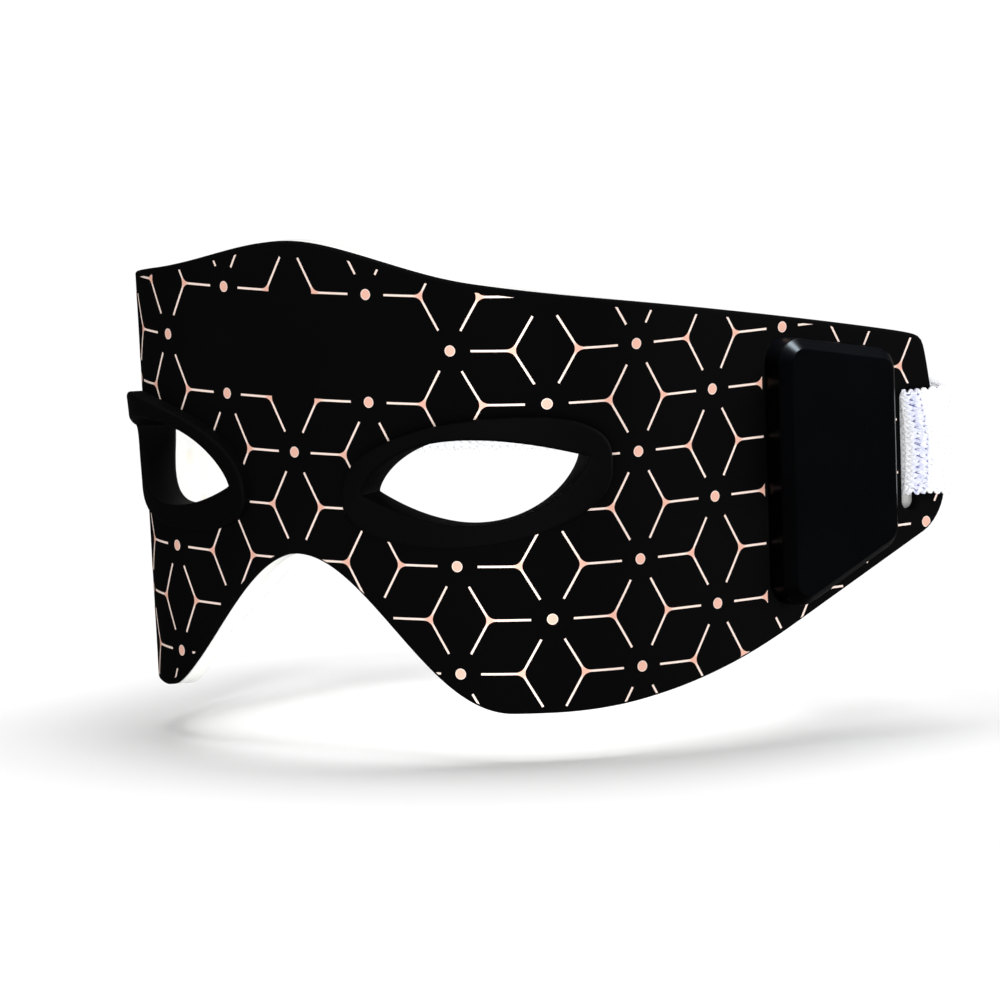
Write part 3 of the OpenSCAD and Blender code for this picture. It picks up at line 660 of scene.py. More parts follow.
def surface(name, colour, rough, metallic=0.0, specular=0.5, fine=5000, patch=60, bump=0.1,
            spread=0.15, depth=0.00002):
    """A finish with moulded grain, a slight change of colour and a change of gloss."""
    material = bpy.data.materials.new(name)
    material.use_nodes = True
    n, inputs = opened(material)
    height, mask = grain(n, fine, patch)
    dark = [c * (1 - spread) for c in colour]
    light = [min(1, c * (1 + spread)) for c in colour]
    n.set(inputs["Base Color"], tinted(n, ranged(n, mask, 0.0, 1.0), dark, light))
    n.set(inputs["Roughness"], ranged(n, mask, max(0.02, rough - 0.05), min(1, rough + 0.05)))
    n.set(inputs["Metallic"], metallic)
    n.set(inputs["Specular IOR Level"], specular)
    n.set(inputs["Normal"], n.call("ShaderNodeBump", {
        "Strength": bump, "Distance": depth, "Height": height}))
    return material


def overlaid(n, inputs, mask, colour):
    """Lays a colour over a finish by the mask."""
    base = inputs["Base Color"]
    n.set(base, tinted(n, mask, base.links[0].from_socket, colour))


def repaint(material, *nodes):
    """Gives CAD nodes a new material in place of their plain one."""
    for name in nodes:
        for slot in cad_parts[name].material_slots:
            slot.material = material


# Settings that a user may change

LENGTH = {"subtype": "DISTANCE", "unit": "LENGTH", "precision": 5}
COLOUR = {"size": 3, "min": 0, "max": 1, "subtype": "COLOR"}


class SheetLook(bpy.types.PropertyGroup):
    edge_round: bpy.props.FloatProperty(
        name="Edge rounding", description="Radius along the edges of the black outer skin",
        default=0.0005, min=0.0001, max=0.0007, **LENGTH)
    skin_colour: bpy.props.FloatVectorProperty(
        name="Outer skin", description="Colour of the black silicone",
        default=(0.0011, 0.0011, 0.0013), **COLOUR)
    liner_colour: bpy.props.FloatVectorProperty(
        name="Inner skin", description="Colour of the pale silicone on the face side",
        default=(0.82, 0.82, 0.8), **COLOUR)
    dimple: bpy.props.FloatProperty(
        name="Light dimples", description="Depth of the dimple over each light on the face side",
        default=0.0004, min=0, max=0.0008, **LENGTH)


class PrintLook(bpy.types.PropertyGroup):
    spacing: bpy.props.FloatProperty(
        name="Lattice spacing", description="Distance between neighbouring dots",
        default=0.018, min=0.008, max=0.04, **LENGTH)
    line_width: bpy.props.FloatProperty(
        name="Line width", description="Width of the printed lines",
        default=0.00036, min=0.0002, max=0.001, **LENGTH)
    dot_radius: bpy.props.FloatProperty(
        name="Dot radius", description="Radius of the printed dots",
        default=0.00092, min=0.0004, max=0.002, **LENGTH)
    flare: bpy.props.FloatProperty(
        name="Flare radius", description="Radius of the curves where three lines meet",
        default=0.0018, min=0.0002, max=0.004, **LENGTH)
    line_colour: bpy.props.FloatVectorProperty(
        name="Lines", description="Colour of the printed lines",
        default=(0.92, 0.74, 0.66), **COLOUR)
    dot_colour: bpy.props.FloatVectorProperty(
        name="Dots", description="Colour of the dots and of the middle of each junction",
        default=(0.8, 0.45, 0.35), **COLOUR)


class StrapLook(bpy.types.PropertyGroup):
    ribs: bpy.props.IntProperty(
        name="Ribs", description="Number of knitted ribs across the strap",
        default=18, min=6, max=24)
    stitch: bpy.props.FloatProperty(
        name="Stitch length", description="Length of one knitted stitch along the strap",
        default=0.0014, min=0.0006, max=0.003, **LENGTH)
    colour: bpy.props.FloatVectorProperty(
        name="Yarn", description="Colour of the strap's yarn",
        default=(0.95, 0.96, 0.98), **COLOUR)
    # Painted shade: lavender painted on the yarn near the bend round the slot's bar, where the
    # strap is in shade
    shade: bpy.props.FloatVectorProperty(
        name="Opened knit", description="Colour of the knit where it is stretched open",
        default=(0.5, 0.52, 0.72), **COLOUR)
    # Painted shade: dark blue painted into the gaps between the stitches
    core: bpy.props.FloatVectorProperty(
        name="Core", description="Colour of the elastic core between the stitches",
        default=(0.05, 0.06, 0.2), **COLOUR)


class StageLook(bpy.types.PropertyGroup):
    floor_drop: bpy.props.FloatProperty(
        name="Floor drop", description="Distance from the mask's lowest point down to the floor",
        default=0.0085, min=0, max=0.1, **LENGTH)
    ambient: bpy.props.FloatProperty(
        name="Even light", description="Strength of the light from all round",
        default=0.14, min=0, max=2)
    top_light: bpy.props.FloatProperty(
        name="Top light", description="Strength of the soft light from above",
        default=3.35, min=0, max=10)
    front_light: bpy.props.FloatProperty(
        name="Front light", description="Strength of the low light on the front",
        default=3.1, min=0, max=10)
    inner_light: bpy.props.FloatProperty(
        name="Inner light", description="Strength of the low light on the face side",
        default=2.5, min=0, max=10)
    glint: bpy.props.FloatProperty(
        name="Glint", description="Strength of the small cool light on the controller",
        default=17.0, min=0, max=50)


# Pieces

def sun(name, strength):
    """A soft light from far away, in its direction from the mask."""
    direction, spread = SUNS[name]
    data = bpy.data.lights.new(name, "SUN")
    data.energy = strength
    data.angle = math.radians(spread)
    obj = bpy.data.objects.new(name, data)
    bpy.context.scene.collection.objects.link(obj)
    obj.matrix_world = Vector(direction).to_track_quat("Z", "Y").to_matrix().to_4x4()
    return data


def link_light(name, state, *things):
    """Lets a light reach only these objects, or every object except these."""
    lit = bpy.data.collections.new(name + "_objects")
    for thing in things:
        lit.objects.link(thing)
    for entry in lit.collection_objects:
        entry.light_linking.link_state = state
    bpy.data.objects[name].light_linking.receiver_collection = lit
    return lit


class MASK_OT_stage(bpy.types.Operator):
    """Make the floor, the soft lights and the camera"""
    bl_idname = "mask.stage"
    bl_label = "Stage and camera"

    def execute(self, context):
        scene, look = context.scene, context.scene.mask_stage
        scene.view_settings.view_transform = "Standard"
        self.camera(scene)
        self.floor(cad_box[0][2] - look.floor_drop)
        self.world(scene, look.ambient)
        for name in ("top_light", "front_light", "inner_light"):
            sun(name, getattr(look, name))
        return {"FINISHED"}

    def camera(self, scene):
        """The camera of the photograph."""
        turn, rise, roll = (math.radians(v) for v in (PHOTO_TURN, PHOTO_RISE, PHOTO_ROLL))
        right = Vector((math.cos(turn), math.sin(turn), 0))
        low = math.sin(rise)
        up = Vector((-math.sin(turn) * low, math.cos(turn) * low, math.cos(rise)))
        back = right.cross(up)
        spot = Vector((0, -SHEET_T, LATTICE_Z))
        for length, way in zip(PHOTO_PLACE, (right, up, back)):
            spot += length * way
        wide = math.cos(roll) * right - math.sin(roll) * up
        high = math.sin(roll) * right + math.cos(roll) * up
        facing = Matrix((wide, high, back)).transposed().to_4x4()
        camera = bpy.data.objects.new("photo_camera", bpy.data.cameras.new("photo_camera"))
        camera.data.sensor_width = 36
        camera.data.lens = PHOTO_LENS
        camera.data.clip_end = 20
        camera.matrix_world = Matrix.Translation(spot * MM) @ facing
        scene.collection.objects.link(camera)
        scene.camera = camera

    def floor(self, height):
        """A round white floor, which shows darker in the mask's reflections."""
        sides, reach, white, mirrored = 64, 2.5, (0.88, 0.88, 0.88), (0.1, 0.1, 0.1)
        verts = [(0, 0, height)]
        verts += [(reach * math.cos(a), reach * math.sin(a), height)
                  for a in np.linspace(0, 2 * math.pi, sides, endpoint=False)]
        mesh = bpy.data.meshes.new("floor")
        mesh.from_pydata(verts, [], [(0, 1 + k, 1 + (k + 1) % sides) for k in range(sides)])
        floor = bpy.data.objects.new("floor", mesh)
        bpy.context.scene.collection.objects.link(floor)
        paper = surface("floor_paper", white, 0.9, specular=0.1, fine=900, patch=3, bump=0.02,
                        spread=0.0)
        n, inputs = opened(paper)
        glossy = n.call("ShaderNodeLightPath", None, "Is Glossy Ray")
        n.set(inputs["Base Color"], tinted(n, glossy, white, mirrored))
        mesh.materials.append(paper)

    def world(self, scene, ambient):
        """A white background with a dimmer, even light."""
        world = bpy.data.worlds.new("studio")
        world.use_nodes = True
        n = Nodes(world.node_tree)
        rays = n.new("ShaderNodeLightPath").outputs
        dim = n.ramp(rays["Is Glossy Ray"], 0.0, 1.0, ambient, 0.1 * ambient)
        inputs = world.node_tree.nodes["Background"].inputs
        n.set(inputs["Color"], (1, 1, 1, 1))
        n.set(inputs["Strength"], n.ramp(rays["Is Camera Ray"], 0.0, 1.0, dim, 1.0))
        scene.world = world


class MASK_OT_outer_skin(bpy.types.Operator):
    """Make the black outer skin, with its eye openings, strap slots and controller opening"""
    bl_idname = "mask.outer_skin"
    bl_label = "Outer skin"

    def execute(self, context):
        look = context.scene.mask_sheet
        r = look.edge_round / MM
        turns = np.radians(np.linspace(0, 90, 6))
        edge = [(r + 0.5, 0), *((r * (1 - math.sin(a)), r * (1 - math.cos(a))) for a in turns),
                (0, 1), (0, SKIN_T)]
        plain = [(0, 0), (0, SKIN_T)]
        window = temple_quad(CASE_S + WINDOW_IN, CASE_S + CASE_LEN - WINDOW_IN,
                             CASE_MARGIN + WINDOW_IN)
        shell = plate([(sheet_outline(), edge), (slot_ring(1), edge), (slot_ring(-1), edge),
                       (eye_ring(OPEN_W, 1), plain), (eye_ring(OPEN_W, -1), plain),
                       (even_loop(as_hole(window), 1.5), plain)], 1.8, 3)
        finish = surface("black_silicone", look.skin_colour, 0.85, specular=0.03, fine=4200,
                         patch=45, bump=0.12)
        skin = grown(shell.piece("outer_skin_shell"), sheet_piece_tree(), material=finish)
        placed(smoothed(skin), "mask", "black_silicone", "outer_skin")
        return {"FINISHED"}


def lens_spots():
    """Flat places of the lights, on the same triangular grid as in the CAD model."""
    room, gap = LINER_EDGE + CIRCUIT_IN + LED_W, LED_W * 0.8
    start, end = mix(EYE_IN[0], RIM_IN[0], CIRCUIT_W), mix(EYE_OUT[0], RIM_OUT[0], CIRCUIT_W)

    def on_circuit(s, z):
        if not (s < CASE_S - 0.6 - LED_W and low_in(s, room) < z < top_in(s, room)):
            return False
        u = (s - start) / (end - start)
        if u < -0.05 or u > 1.05:
            return True
        high, low = lids(min(max(u, 0), 1), CIRCUIT_W)
        return z > high + gap or z < low - gap
    spots = []
    for j in range(-8, 9):
        for i in range(25):
            s = (i + (0 if j % 2 == 0 else 0.5)) * LED_PITCH
            z = EYE_IN[1] + j * LED_PITCH * math.sin(math.radians(60))
            if on_circuit(s, z):
                spots += [(s, z)] if s == 0 else [(s, z), (-s, z)]
    return spots


class MASK_OT_liner(bpy.types.Operator):
    """Make the pale inner skin, with a shallow dimple over each light"""
    bl_idname = "mask.liner"
    bl_label = "Light liner"

    def execute(self, context):
        look = context.scene.mask_sheet
        top, near = SHEET_T - LINER_T, SKIN_T + SEAT
        curve = rounded_path([(LINER_EDGE, top), (LINER_EDGE, near), (0, near), (0, SHEET_T),
                              (1.6, SHEET_T)], LINER_ROUND, 4)
        slot = rounded_path([(0, top), (0, SHEET_T), (1.2, SHEET_T)], 0.6, 3)
        hole = rounded_path([(0, top), (0, SHEET_T), (0.9, SHEET_T)], 0.4, 3)
        flat = plate([(sheet_outline(), curve), (slot_ring(1), slot), (slot_ring(-1), slot),
                      (eye_ring(OPEN_W, 1), hole), (eye_ring(OPEN_W, -1), hole)], 3.5, 0.95)
        spots = np.array(lens_spots())
        gaps = [np.hypot(*(spots - (s, z)).T).min() for s, _, z in flat.verts]
        depth = look.dimple / MM
        for i, (s, d, z) in enumerate(flat.verts):
            if d >= SHEET_T - 0.001 and gaps[i] < DIMPLE_R:
                sunk = depth * (1 + math.cos(math.pi * gaps[i] / DIMPLE_R)) / 2
                flat.verts[i] = (s, d - sunk, z)
        obj = flat.piece("light_liner_skin")
        over = obj.data.attributes.new("over_light", "FLOAT", "POINT")
        over.data.foreach_set("value", [
            max(0, 1 - gap / DIMPLE_R) if d > SHEET_T - 0.6 else 0
            for gap, (_, d, _) in zip(gaps, flat.verts)])
        finish = surface("milky_silicone", look.liner_colour, 0.42, specular=0.4, fine=2600,
                         patch=30, bump=0.05, spread=0.03)
        n, inputs = opened(finish)
        amber = n.ramp(n.attribute("over_light"), 0.25, 0.75, 0.0, 0.25)
        overlaid(n, inputs, amber, (0.78, 0.66, 0.36))
        liner = grown(obj, sheet_piece_tree(), material=finish)
        placed(smoothed(liner), "mask", "white_silicone", "light_liner")
        return {"FINISHED"}


class MASK_OT_eye_rims(bpy.types.Operator):
    """Make the two raised black rims, whose walls run through the sheet"""
    bl_idname = "mask.eye_rims"
    bl_label = "Eye rims"

    def execute(self, context):
        finish = surface("black_rim_silicone", context.scene.mask_sheet.skin_colour, 0.7,
                         specular=0.035, fine=4200, patch=45, bump=0.08)

        # The collar's section, from its outer foot over its top. It stands lowest under the eye
        neck = NECK_W * RIM_W
        section = rounded_path([(RIM_W, 0.0), (RIM_W - 0.05, -RIM_H), (0, 0.2 - RIM_H),
                                (0, SHEET_T), (neck, SHEET_T), (neck, 0)], RIM_ROUND, 7)
        n = 72
        for side, name in ((1, "left"), (-1, "right")):
            share = (1 + np.sin(np.pi * np.arange(2 * n)[::side] / n)) / 2
            taper = RIM_TAPER + (1 - RIM_TAPER) * share
            flat = Flat()
            rings = []
            for w, d in section:
                depth = d * (taper if d < 0 else np.ones(2 * n))
                loop = eye_ring(w / RIM_W, side, n)
                rings.append(flat.add([(s, e, z) for (s, z), e in zip(loop, depth)]))
            flat.walls(rings + rings[:1])
            rim = grown(flat.piece("eye_rim_collar_" + name), sheet_piece_tree(), material=finish)
            placed(smoothed(rim, 50), "mask", "black_silicone", "eye_rim_" + name)
        return {"FINISHED"}


class MASK_OT_print(bpy.types.Operator):
    """Print the lattice of dots and three-armed lines on the outer skin"""
    bl_idname = "mask.print"
    bl_label = "Lattice print"

    def execute(self, context):
        look = context.scene.mask_print
        lines = self.ink("rose_gold_lines", look, 0.5 * MM, 1.3 * MM)
        dots = self.ink("rose_gold_dots", look, 0.8 * look.dot_radius, 0.95 * look.dot_radius)
        tree = self.tree()

        # The middle of the brow is plain: one dot and the junctions beside it aren't printed there
        a = look.spacing / MM
        p = a * math.sqrt(3) / 2
        for name, motif, material, bare in (
                ("lattice_dots", self.dot(look), dots, [(-2, -2), (2, -2), (2, 2), (-2, 2)]),
                ("lattice_lines", self.junctions(look), lines, [
                    (-1.45 * p, -0.488 * a), (1.45 * p, -0.488 * a), (1.95 * p, 0),
                    (1.45 * p, 0.488 * a), (-1.45 * p, 0.488 * a), (-1.95 * p, 0)])):
            area = self.area(name, [(s, LATTICE_Z + a + z) for s, z in bare])
            piece = grown(area, tree, motif=motif, material=material, spacing=look.spacing,
                          centres_inside=name == "lattice_dots")
            bpy.data.objects.remove(motif)
            placed(smoothed(piece, 40), "mask", None)
        return {"FINISHED"}

    def ink(self, name, look, near, far):
        """Rose gold ink, deeper in colour at the middle of each dot and junction."""
        material = surface(name, look.line_colour, 0.45, metallic=0.3, fine=3000, patch=90,
                           bump=0.05, spread=0.06)
        n, inputs = opened(material)
        x, _, z = n.split(n.attribute("flat", "Vector"))
        third = look.spacing * math.sqrt(3) / 6
        length = n.size(x)
        column = n.math("ROUND", length / third)
        row = (z - LATTICE_Z * MM) / look.spacing - n.math("MODULO", column, 2.0) * 0.5
        beside = length - column * third
        above = (row - n.math("ROUND", row)) * look.spacing
        gap = n.math("SQRT", beside * beside + above * above)
        overlaid(n, inputs, n.ramp(gap, far, near), look.dot_colour)
        return material

    def area(self, name, bare):
        """A plate in the shape of the printable area, which trims the lattice."""
        outline = sheet_outline()
        outward = -leftward(outline)[:, 1]
        brow = np.clip((100 - np.abs(outline[:, 0])) / 20, 0, 1)
        margin = PRINT_EDGE + PRINT_LEAN * outward * np.where(outward > 0, brow, 1)
        outline = shifted(outline, margin[:, None])
        outline[:, 1] = np.minimum(outline[:, 1], PRINT_TOP)
        loops = [even_loop(outline, 1), even_loop(bare[::-1], 1),
                 even_loop(as_hole(temple_quad(*CASE_BARE)), 1), slot_ring(-1, 1.0),
                 eye_ring(PRINT_W, 1), eye_ring(PRINT_W, -1), slot_ring(1, 1.0)]
        return plate([(loop, [(0, -1), (0, 1)]) for loop in loops], 8, 8).piece(name)

    def solid(self, name, faces, points):
        """A thin plate from flat faces: points are (length, height)."""
        flat = Flat()
        front = flat.ring(points, PRINT_FRONT)
        back = flat.ring(points, PRINT_BACK)
        for face in faces:
            flat.faces += [tuple(front[i] for i in face), tuple(back[i] for i in face[::-1])]
        edges = dict.fromkeys(edge for face in faces for edge in zip(face, face[1:] + face[:1]))
        flat.faces += [(front[i], back[i], back[j], front[j])
                       for i, j in edges if (j, i) not in edges]
        obj = flat.piece(name)
        obj.hide_render = True
        return obj

    def dot(self, look):
        r, n = look.dot_radius / MM, 24
        turns = [2 * math.pi * k / n for k in range(n)]
        points = [(0, 0)] + [(r * math.cos(t), r * math.sin(t)) for t in turns]
        return self.solid("dot_motif", [[0, 1 + k, 1 + (k + 1) % n] for k in range(n)], points)

    def junctions(self, look):
        """Two junctions of three lines, one on either side of a dot, with flared corners."""
        a, h, r = look.spacing / MM, look.line_width / MM / 2, look.flare / MM
        reach = a / math.sqrt(3)
        sixty = math.radians(60)
        middle = (r + h) / math.sin(sixty)
        tangent = middle * math.cos(sixty)
        curve = [(tangent + r * math.cos(t), middle * math.sin(sixty) + r * math.sin(t))
                 for t in np.radians(np.linspace(-120, -90, 6))]
        points, faces = [], []
        for centre, start in (((reach, 0), 180), ((-reach, 0), 0)):
            hub = len(points)
            points.append(centre)
            corner = {}
            for k in range(3):
                angle = math.radians(start + 120 * k)
                end = reach - (SLANT_GAP if k else LINE_GAP) * a
                columns = curve + [(x, h) for x in np.linspace(tangent, end, 6)[1:]]
                c, s = math.cos(angle), math.sin(angle)

                def put(x, z):
                    points.append((centre[0] + c * x - s * z, centre[1] + s * x + c * z))
                    return len(points) - 1
                x, z = columns[0]
                low = [corner.get((k, 0)) or put(x, -z)]
                corner[((k - 1) % 3, 1)] = low[0]
                high = [corner.get((k, 1)) or put(x, z)]
                corner[((k + 1) % 3, 0)] = high[0]
                low += [put(x, -z) for x, z in columns[1:]]
                high += [put(x, z) for x, z in columns[1:]]
                faces.append([hub, low[0], high[0]])
                faces += [[*pair, *other[::-1]] for pair, other in zip(
                    zip(low, low[1:]), zip(high, high[1:]))]
        return self.solid("junction_motif", faces, points)

    def tree(self):
        """Copies a motif onto every dot's place, trims the copies to the area and bends them."""
        tree = geometry_tree("lattice_print")
        for name, kind, default in (
                ("Motif", "Object", None), ("Material", "Material", None),
                ("Spacing", "Float", 0.018), ("Row height", "Float", LATTICE_Z * MM),
                ("Columns", "Int", 9), ("Rows", "Int", 4), ("Centres inside", "Bool", False)):
            socket(tree, name, kind, default)
        n = Nodes(tree)
        given = n.given()
        pitch = given["Spacing"] * (math.sqrt(3) / 2)
        wide, high = given["Columns"] * 2.0, given["Rows"] * 2.0
        grid = n.call("GeometryNodeMeshGrid", {
            "Size X": pitch * wide, "Size Y": given["Spacing"] * high,
            "Vertices X": wide + 1.0, "Vertices Y": high + 1.0})
        x, y, _ = n.split(n.position())
        odd = n.math("MODULO", n.math("ROUND", n.size(x / pitch)), 2.0)
        height = y + given["Row height"] + odd * given["Spacing"] * 0.5
        points = n.call("GeometryNodeSetPosition", {
            "Geometry": grid, "Position": n.vector(x, 0.0, height)})
        before = n.call("ShaderNodeVectorMath", {0: n.position(), 1: (0, 10 * MM, 0)},
                        operation="SUBTRACT")
        seen = n.call("GeometryNodeRaycast", {
            "Target Geometry": given["Geometry"], "Source Position": before,
            "Ray Direction": (0, 1, 0), "Ray Length": 1.0}, "Is Hit")
        lost = n.call("FunctionNodeBooleanMath", {0: given["Centres inside"], 1: seen},
                      operation="NIMPLY")
        points = n.call("GeometryNodeDeleteGeometry", {"Geometry": points, "Selection": lost})
        motif = n.call("GeometryNodeObjectInfo", {"Object": given["Motif"]}, "Geometry")
        copies = n.call("GeometryNodeInstanceOnPoints", {"Points": points, "Instance": motif})
        lattice = n.call("GeometryNodeRealizeInstances", {"Geometry": copies})
        cut = n.new("GeometryNodeMeshBoolean", operation="INTERSECT", solver="MANIFOLD")
        for part in (lattice, given["Geometry"]):
            n.set(cut.inputs["Mesh 2"], part)
        trimmed = n.mark(cut.outputs[0], "flat", n.position(), "FLOAT_VECTOR")
        close_tree(n, face_bend(n, trimmed), given["Material"])
        return tree


def case_outline(m, n=12):
    """The controller's outline moved inwards by m, anticlockwise as seen from outside."""
    quad = [np.array(q) for q in temple_quad(CASE_S + m, CASE_S + CASE_LEN - m, CASE_MARGIN + m)]
    turns = zip(quad[-1:] + quad, quad, quad[1:] + quad[:1])
    return np.array([p for a, c, b in turns for p in corner(a, c, b, CASE_R - m, n)])


def in_wall(x, y, h):
    """Flat place of a point in the frame of the controller's lower wall."""
    a, b = (np.array((s, low_in(s, CASE_MARGIN))) for s in (CASE_S, CASE_S + CASE_LEN))
    u = (b - a) / np.linalg.norm(b - a)
    p = (a + b) / 2 + x * u + y * np.array([-u[1], u[0]])
    return (p[0], -h, p[1])


def oval(x, h, w, t, n=16):
    """A rounded bar's section in the lower wall, as (x, h) pairs."""
    points = []
    for side, first in ((1, -90), (-1, 90)):
        for k in range(n + 1):
            a = math.radians(first + 180 * k / n)
            points.append((x + side * (w - t) / 2 + t / 2 * math.cos(a), h + t / 2 * math.sin(a)))
    return points


def wall_bar(flat, rings):
    """A closed bar in the lower wall from rings of (section, depth into the case)."""
    made = [flat.add([in_wall(x, y, h) for x, h in section]) for section, y in rings]
    flat.walls(made)
    flat.faces += [tuple(made[0]), tuple(made[-1][::-1])]


class MASK_OT_controller(bpy.types.Operator):
    """Make the bevelled controller cover and its power button, and light the cover"""
    bl_idname = "mask.controller"
    bl_label = "Controller"

    def execute(self, context):
        cover = self.cover()
        placed(smoothed(cover, 28), "mask", "black_plastic", "controller_cover")
        self.light_apart(cover, context.scene.mask_stage.glint)
        placed(smoothed(self.button(), 35), "button", "button_black", "power_button")
        return {"FINISHED"}

    def cover(self):
        """The cover's shell, with holes in its lower wall for the button, socket and light."""
        plastic = surface("black_plastic", (0.0008, 0.0008, 0.001), 0.28, specular=0.05, fine=5200,
                          bump=0.06)
        outer = rounded_path([(0, SEAT), (0, CASE_H - CASE_BEVEL), (CASE_BEVEL, CASE_H),
                              (CASE_BEVEL + 1.2, CASE_H)], 0.45)
        inner = [(CASE_WALL, SEAT), (CASE_WALL, CASE_H - CASE_BEVEL - 0.7),
                 (CASE_BEVEL + 0.5, CASE_H - CASE_WALL)]
        flat = Flat()
        shell, roof = ([flat.ring(case_outline(m), -h) for m, h in path] for path in (outer, inner))
        for a, b in zip(shell, shell[1:]):
            flat.wall(b, a)
        flat.faces.append(tuple(shell[-1]))
        flat.walls(roof)
        flat.faces.append(tuple(roof[-1][::-1]))
        flat.wall(shell[0], roof[0])
        cover = flat.piece("controller_shell")
        cutter = Flat()
        light = 2 * LIGHT_R + 0.1
        for section in (oval(BUTTON_X, BUTTON_H, BUTTON_W + BUTTON_GAP, BUTTON_T + BUTTON_GAP),
                        oval(SOCKET_X, SOCKET_H, SOCKET_W + SOCKET_GAP, SOCKET_T + SOCKET_GAP),
                        oval(LIGHT_X, BUTTON_H, light, light - 0.0001)):
            wall_bar(cutter, [(section, -1), (section, 2.2)])
        holes = cutter.piece("controller_holes")
        cut = cover.modifiers.new("holes", "BOOLEAN")
        cut.operation, cut.solver, cut.object = "DIFFERENCE", "EXACT", holes
        cover = grown(cover, sheet_piece_tree(), material=plastic)
        bpy.data.objects.remove(holes)
        return cover

    def button(self):
        """The button's rounded cap, its flange behind the wall and the stem to its switch."""
        rings = []
        for a in np.radians((0, 30, 60, 90)):
            inset = BUTTON_ROUND * (1 - math.sin(a))
            rings.append((oval(BUTTON_X, BUTTON_H, BUTTON_W - 2 * inset, BUTTON_T - 2 * inset),
                          -BUTTON_OUT + BUTTON_ROUND * (1 - math.cos(a))))
        flange = oval(BUTTON_X, BUTTON_H, BUTTON_W + FLANGE_W, BUTTON_T + 0.1)
        stem = oval(BUTTON_X, BOARD_H + 0.7 + 0.4, STEM_W, STEM_T)
        rings += [(section, CASE_WALL + depth) for section, depth in (
            (rings[-1][0], SEAT), (flange, SEAT), (flange, FLANGE_T), (stem, FLANGE_T),
            (stem, STEM_LEN))]
        cap = Flat()
        wall_bar(cap, rings)
        rubber = surface("button_rubber", (0.012, 0.012, 0.013), 0.55, specular=0.25, fine=4200,
                         patch=80)
        return grown(cap.piece("button_cap"), sheet_piece_tree(), material=rubber)

    def light_apart(self, cover, strength):
        """Keeps the low lights off the cover and the floor, and gives the cover a cool light."""
        sun("corner_glint", strength).color = (0.75, 0.88, 1)
        link_light("corner_glint", "INCLUDE", cover)
        for name in ("front_light", "inner_light"):
            kept_off = link_light(name, "EXCLUDE", cover, bpy.data.objects["floor"])
            bpy.data.objects[name].light_linking.blocker_collection = kept_off


def flat_at(s, h):
    """A point of the sheet's straight end, seen from above, at length s and h over the skin."""
    p, start = np.zeros(2), 0.0
    for length, turn in zip(BEND_LEN, np.radians(BEND_TURN)):
        end = start + turn
        p = p + length / turn * np.array([math.sin(end) - math.sin(start),
                                          math.cos(start) - math.cos(end)])
        start = end
    p = p + (s - sum(BEND_LEN)) * ray(start)
    return p - h * np.array([-math.sin(start), math.cos(start)]) - np.array([0, SHEET_T])


def strap_route():
    """Left half of the strap's line, seen from above, as the CAD strap runs."""
    off = STRAP_GAP + STRAP_T / 2
    leave = flat_at(HALF_LEN + 1.8, -SHEET_T - off - 0.4)
    bow_r = leave[0] / math.sin(math.radians(STRAP_TURN))
    middle = np.array([0, leave[1] - bow_r * math.cos(math.radians(STRAP_TURN))])
    tail_r = bow_r + STRAP_T + HOOK_T + 4 * SEAT
    leave_a = 90 - STRAP_TURN

    def bow_at(r, a):
        return middle + r * ray(math.radians(a))
    knee = [bow_at(bow_r, leave_a + 1), leave, flat_at(STRAP_S, -SHEET_T - off),
            flat_at(STRAP_S, off), flat_at(HALF_LEN + off, off), bow_at(tail_r, leave_a)]
    path = [bow_at(bow_r, 90 - (STRAP_TURN - 2) * i / 24) for i in range(25)]
    path += rounded_path(knee, 1.1, 8)[1:-1]
    tail = math.degrees(TAIL_LEN / tail_r)
    path += [bow_at(tail_r, leave_a + tail * i / 12) for i in range(13)]
    return path


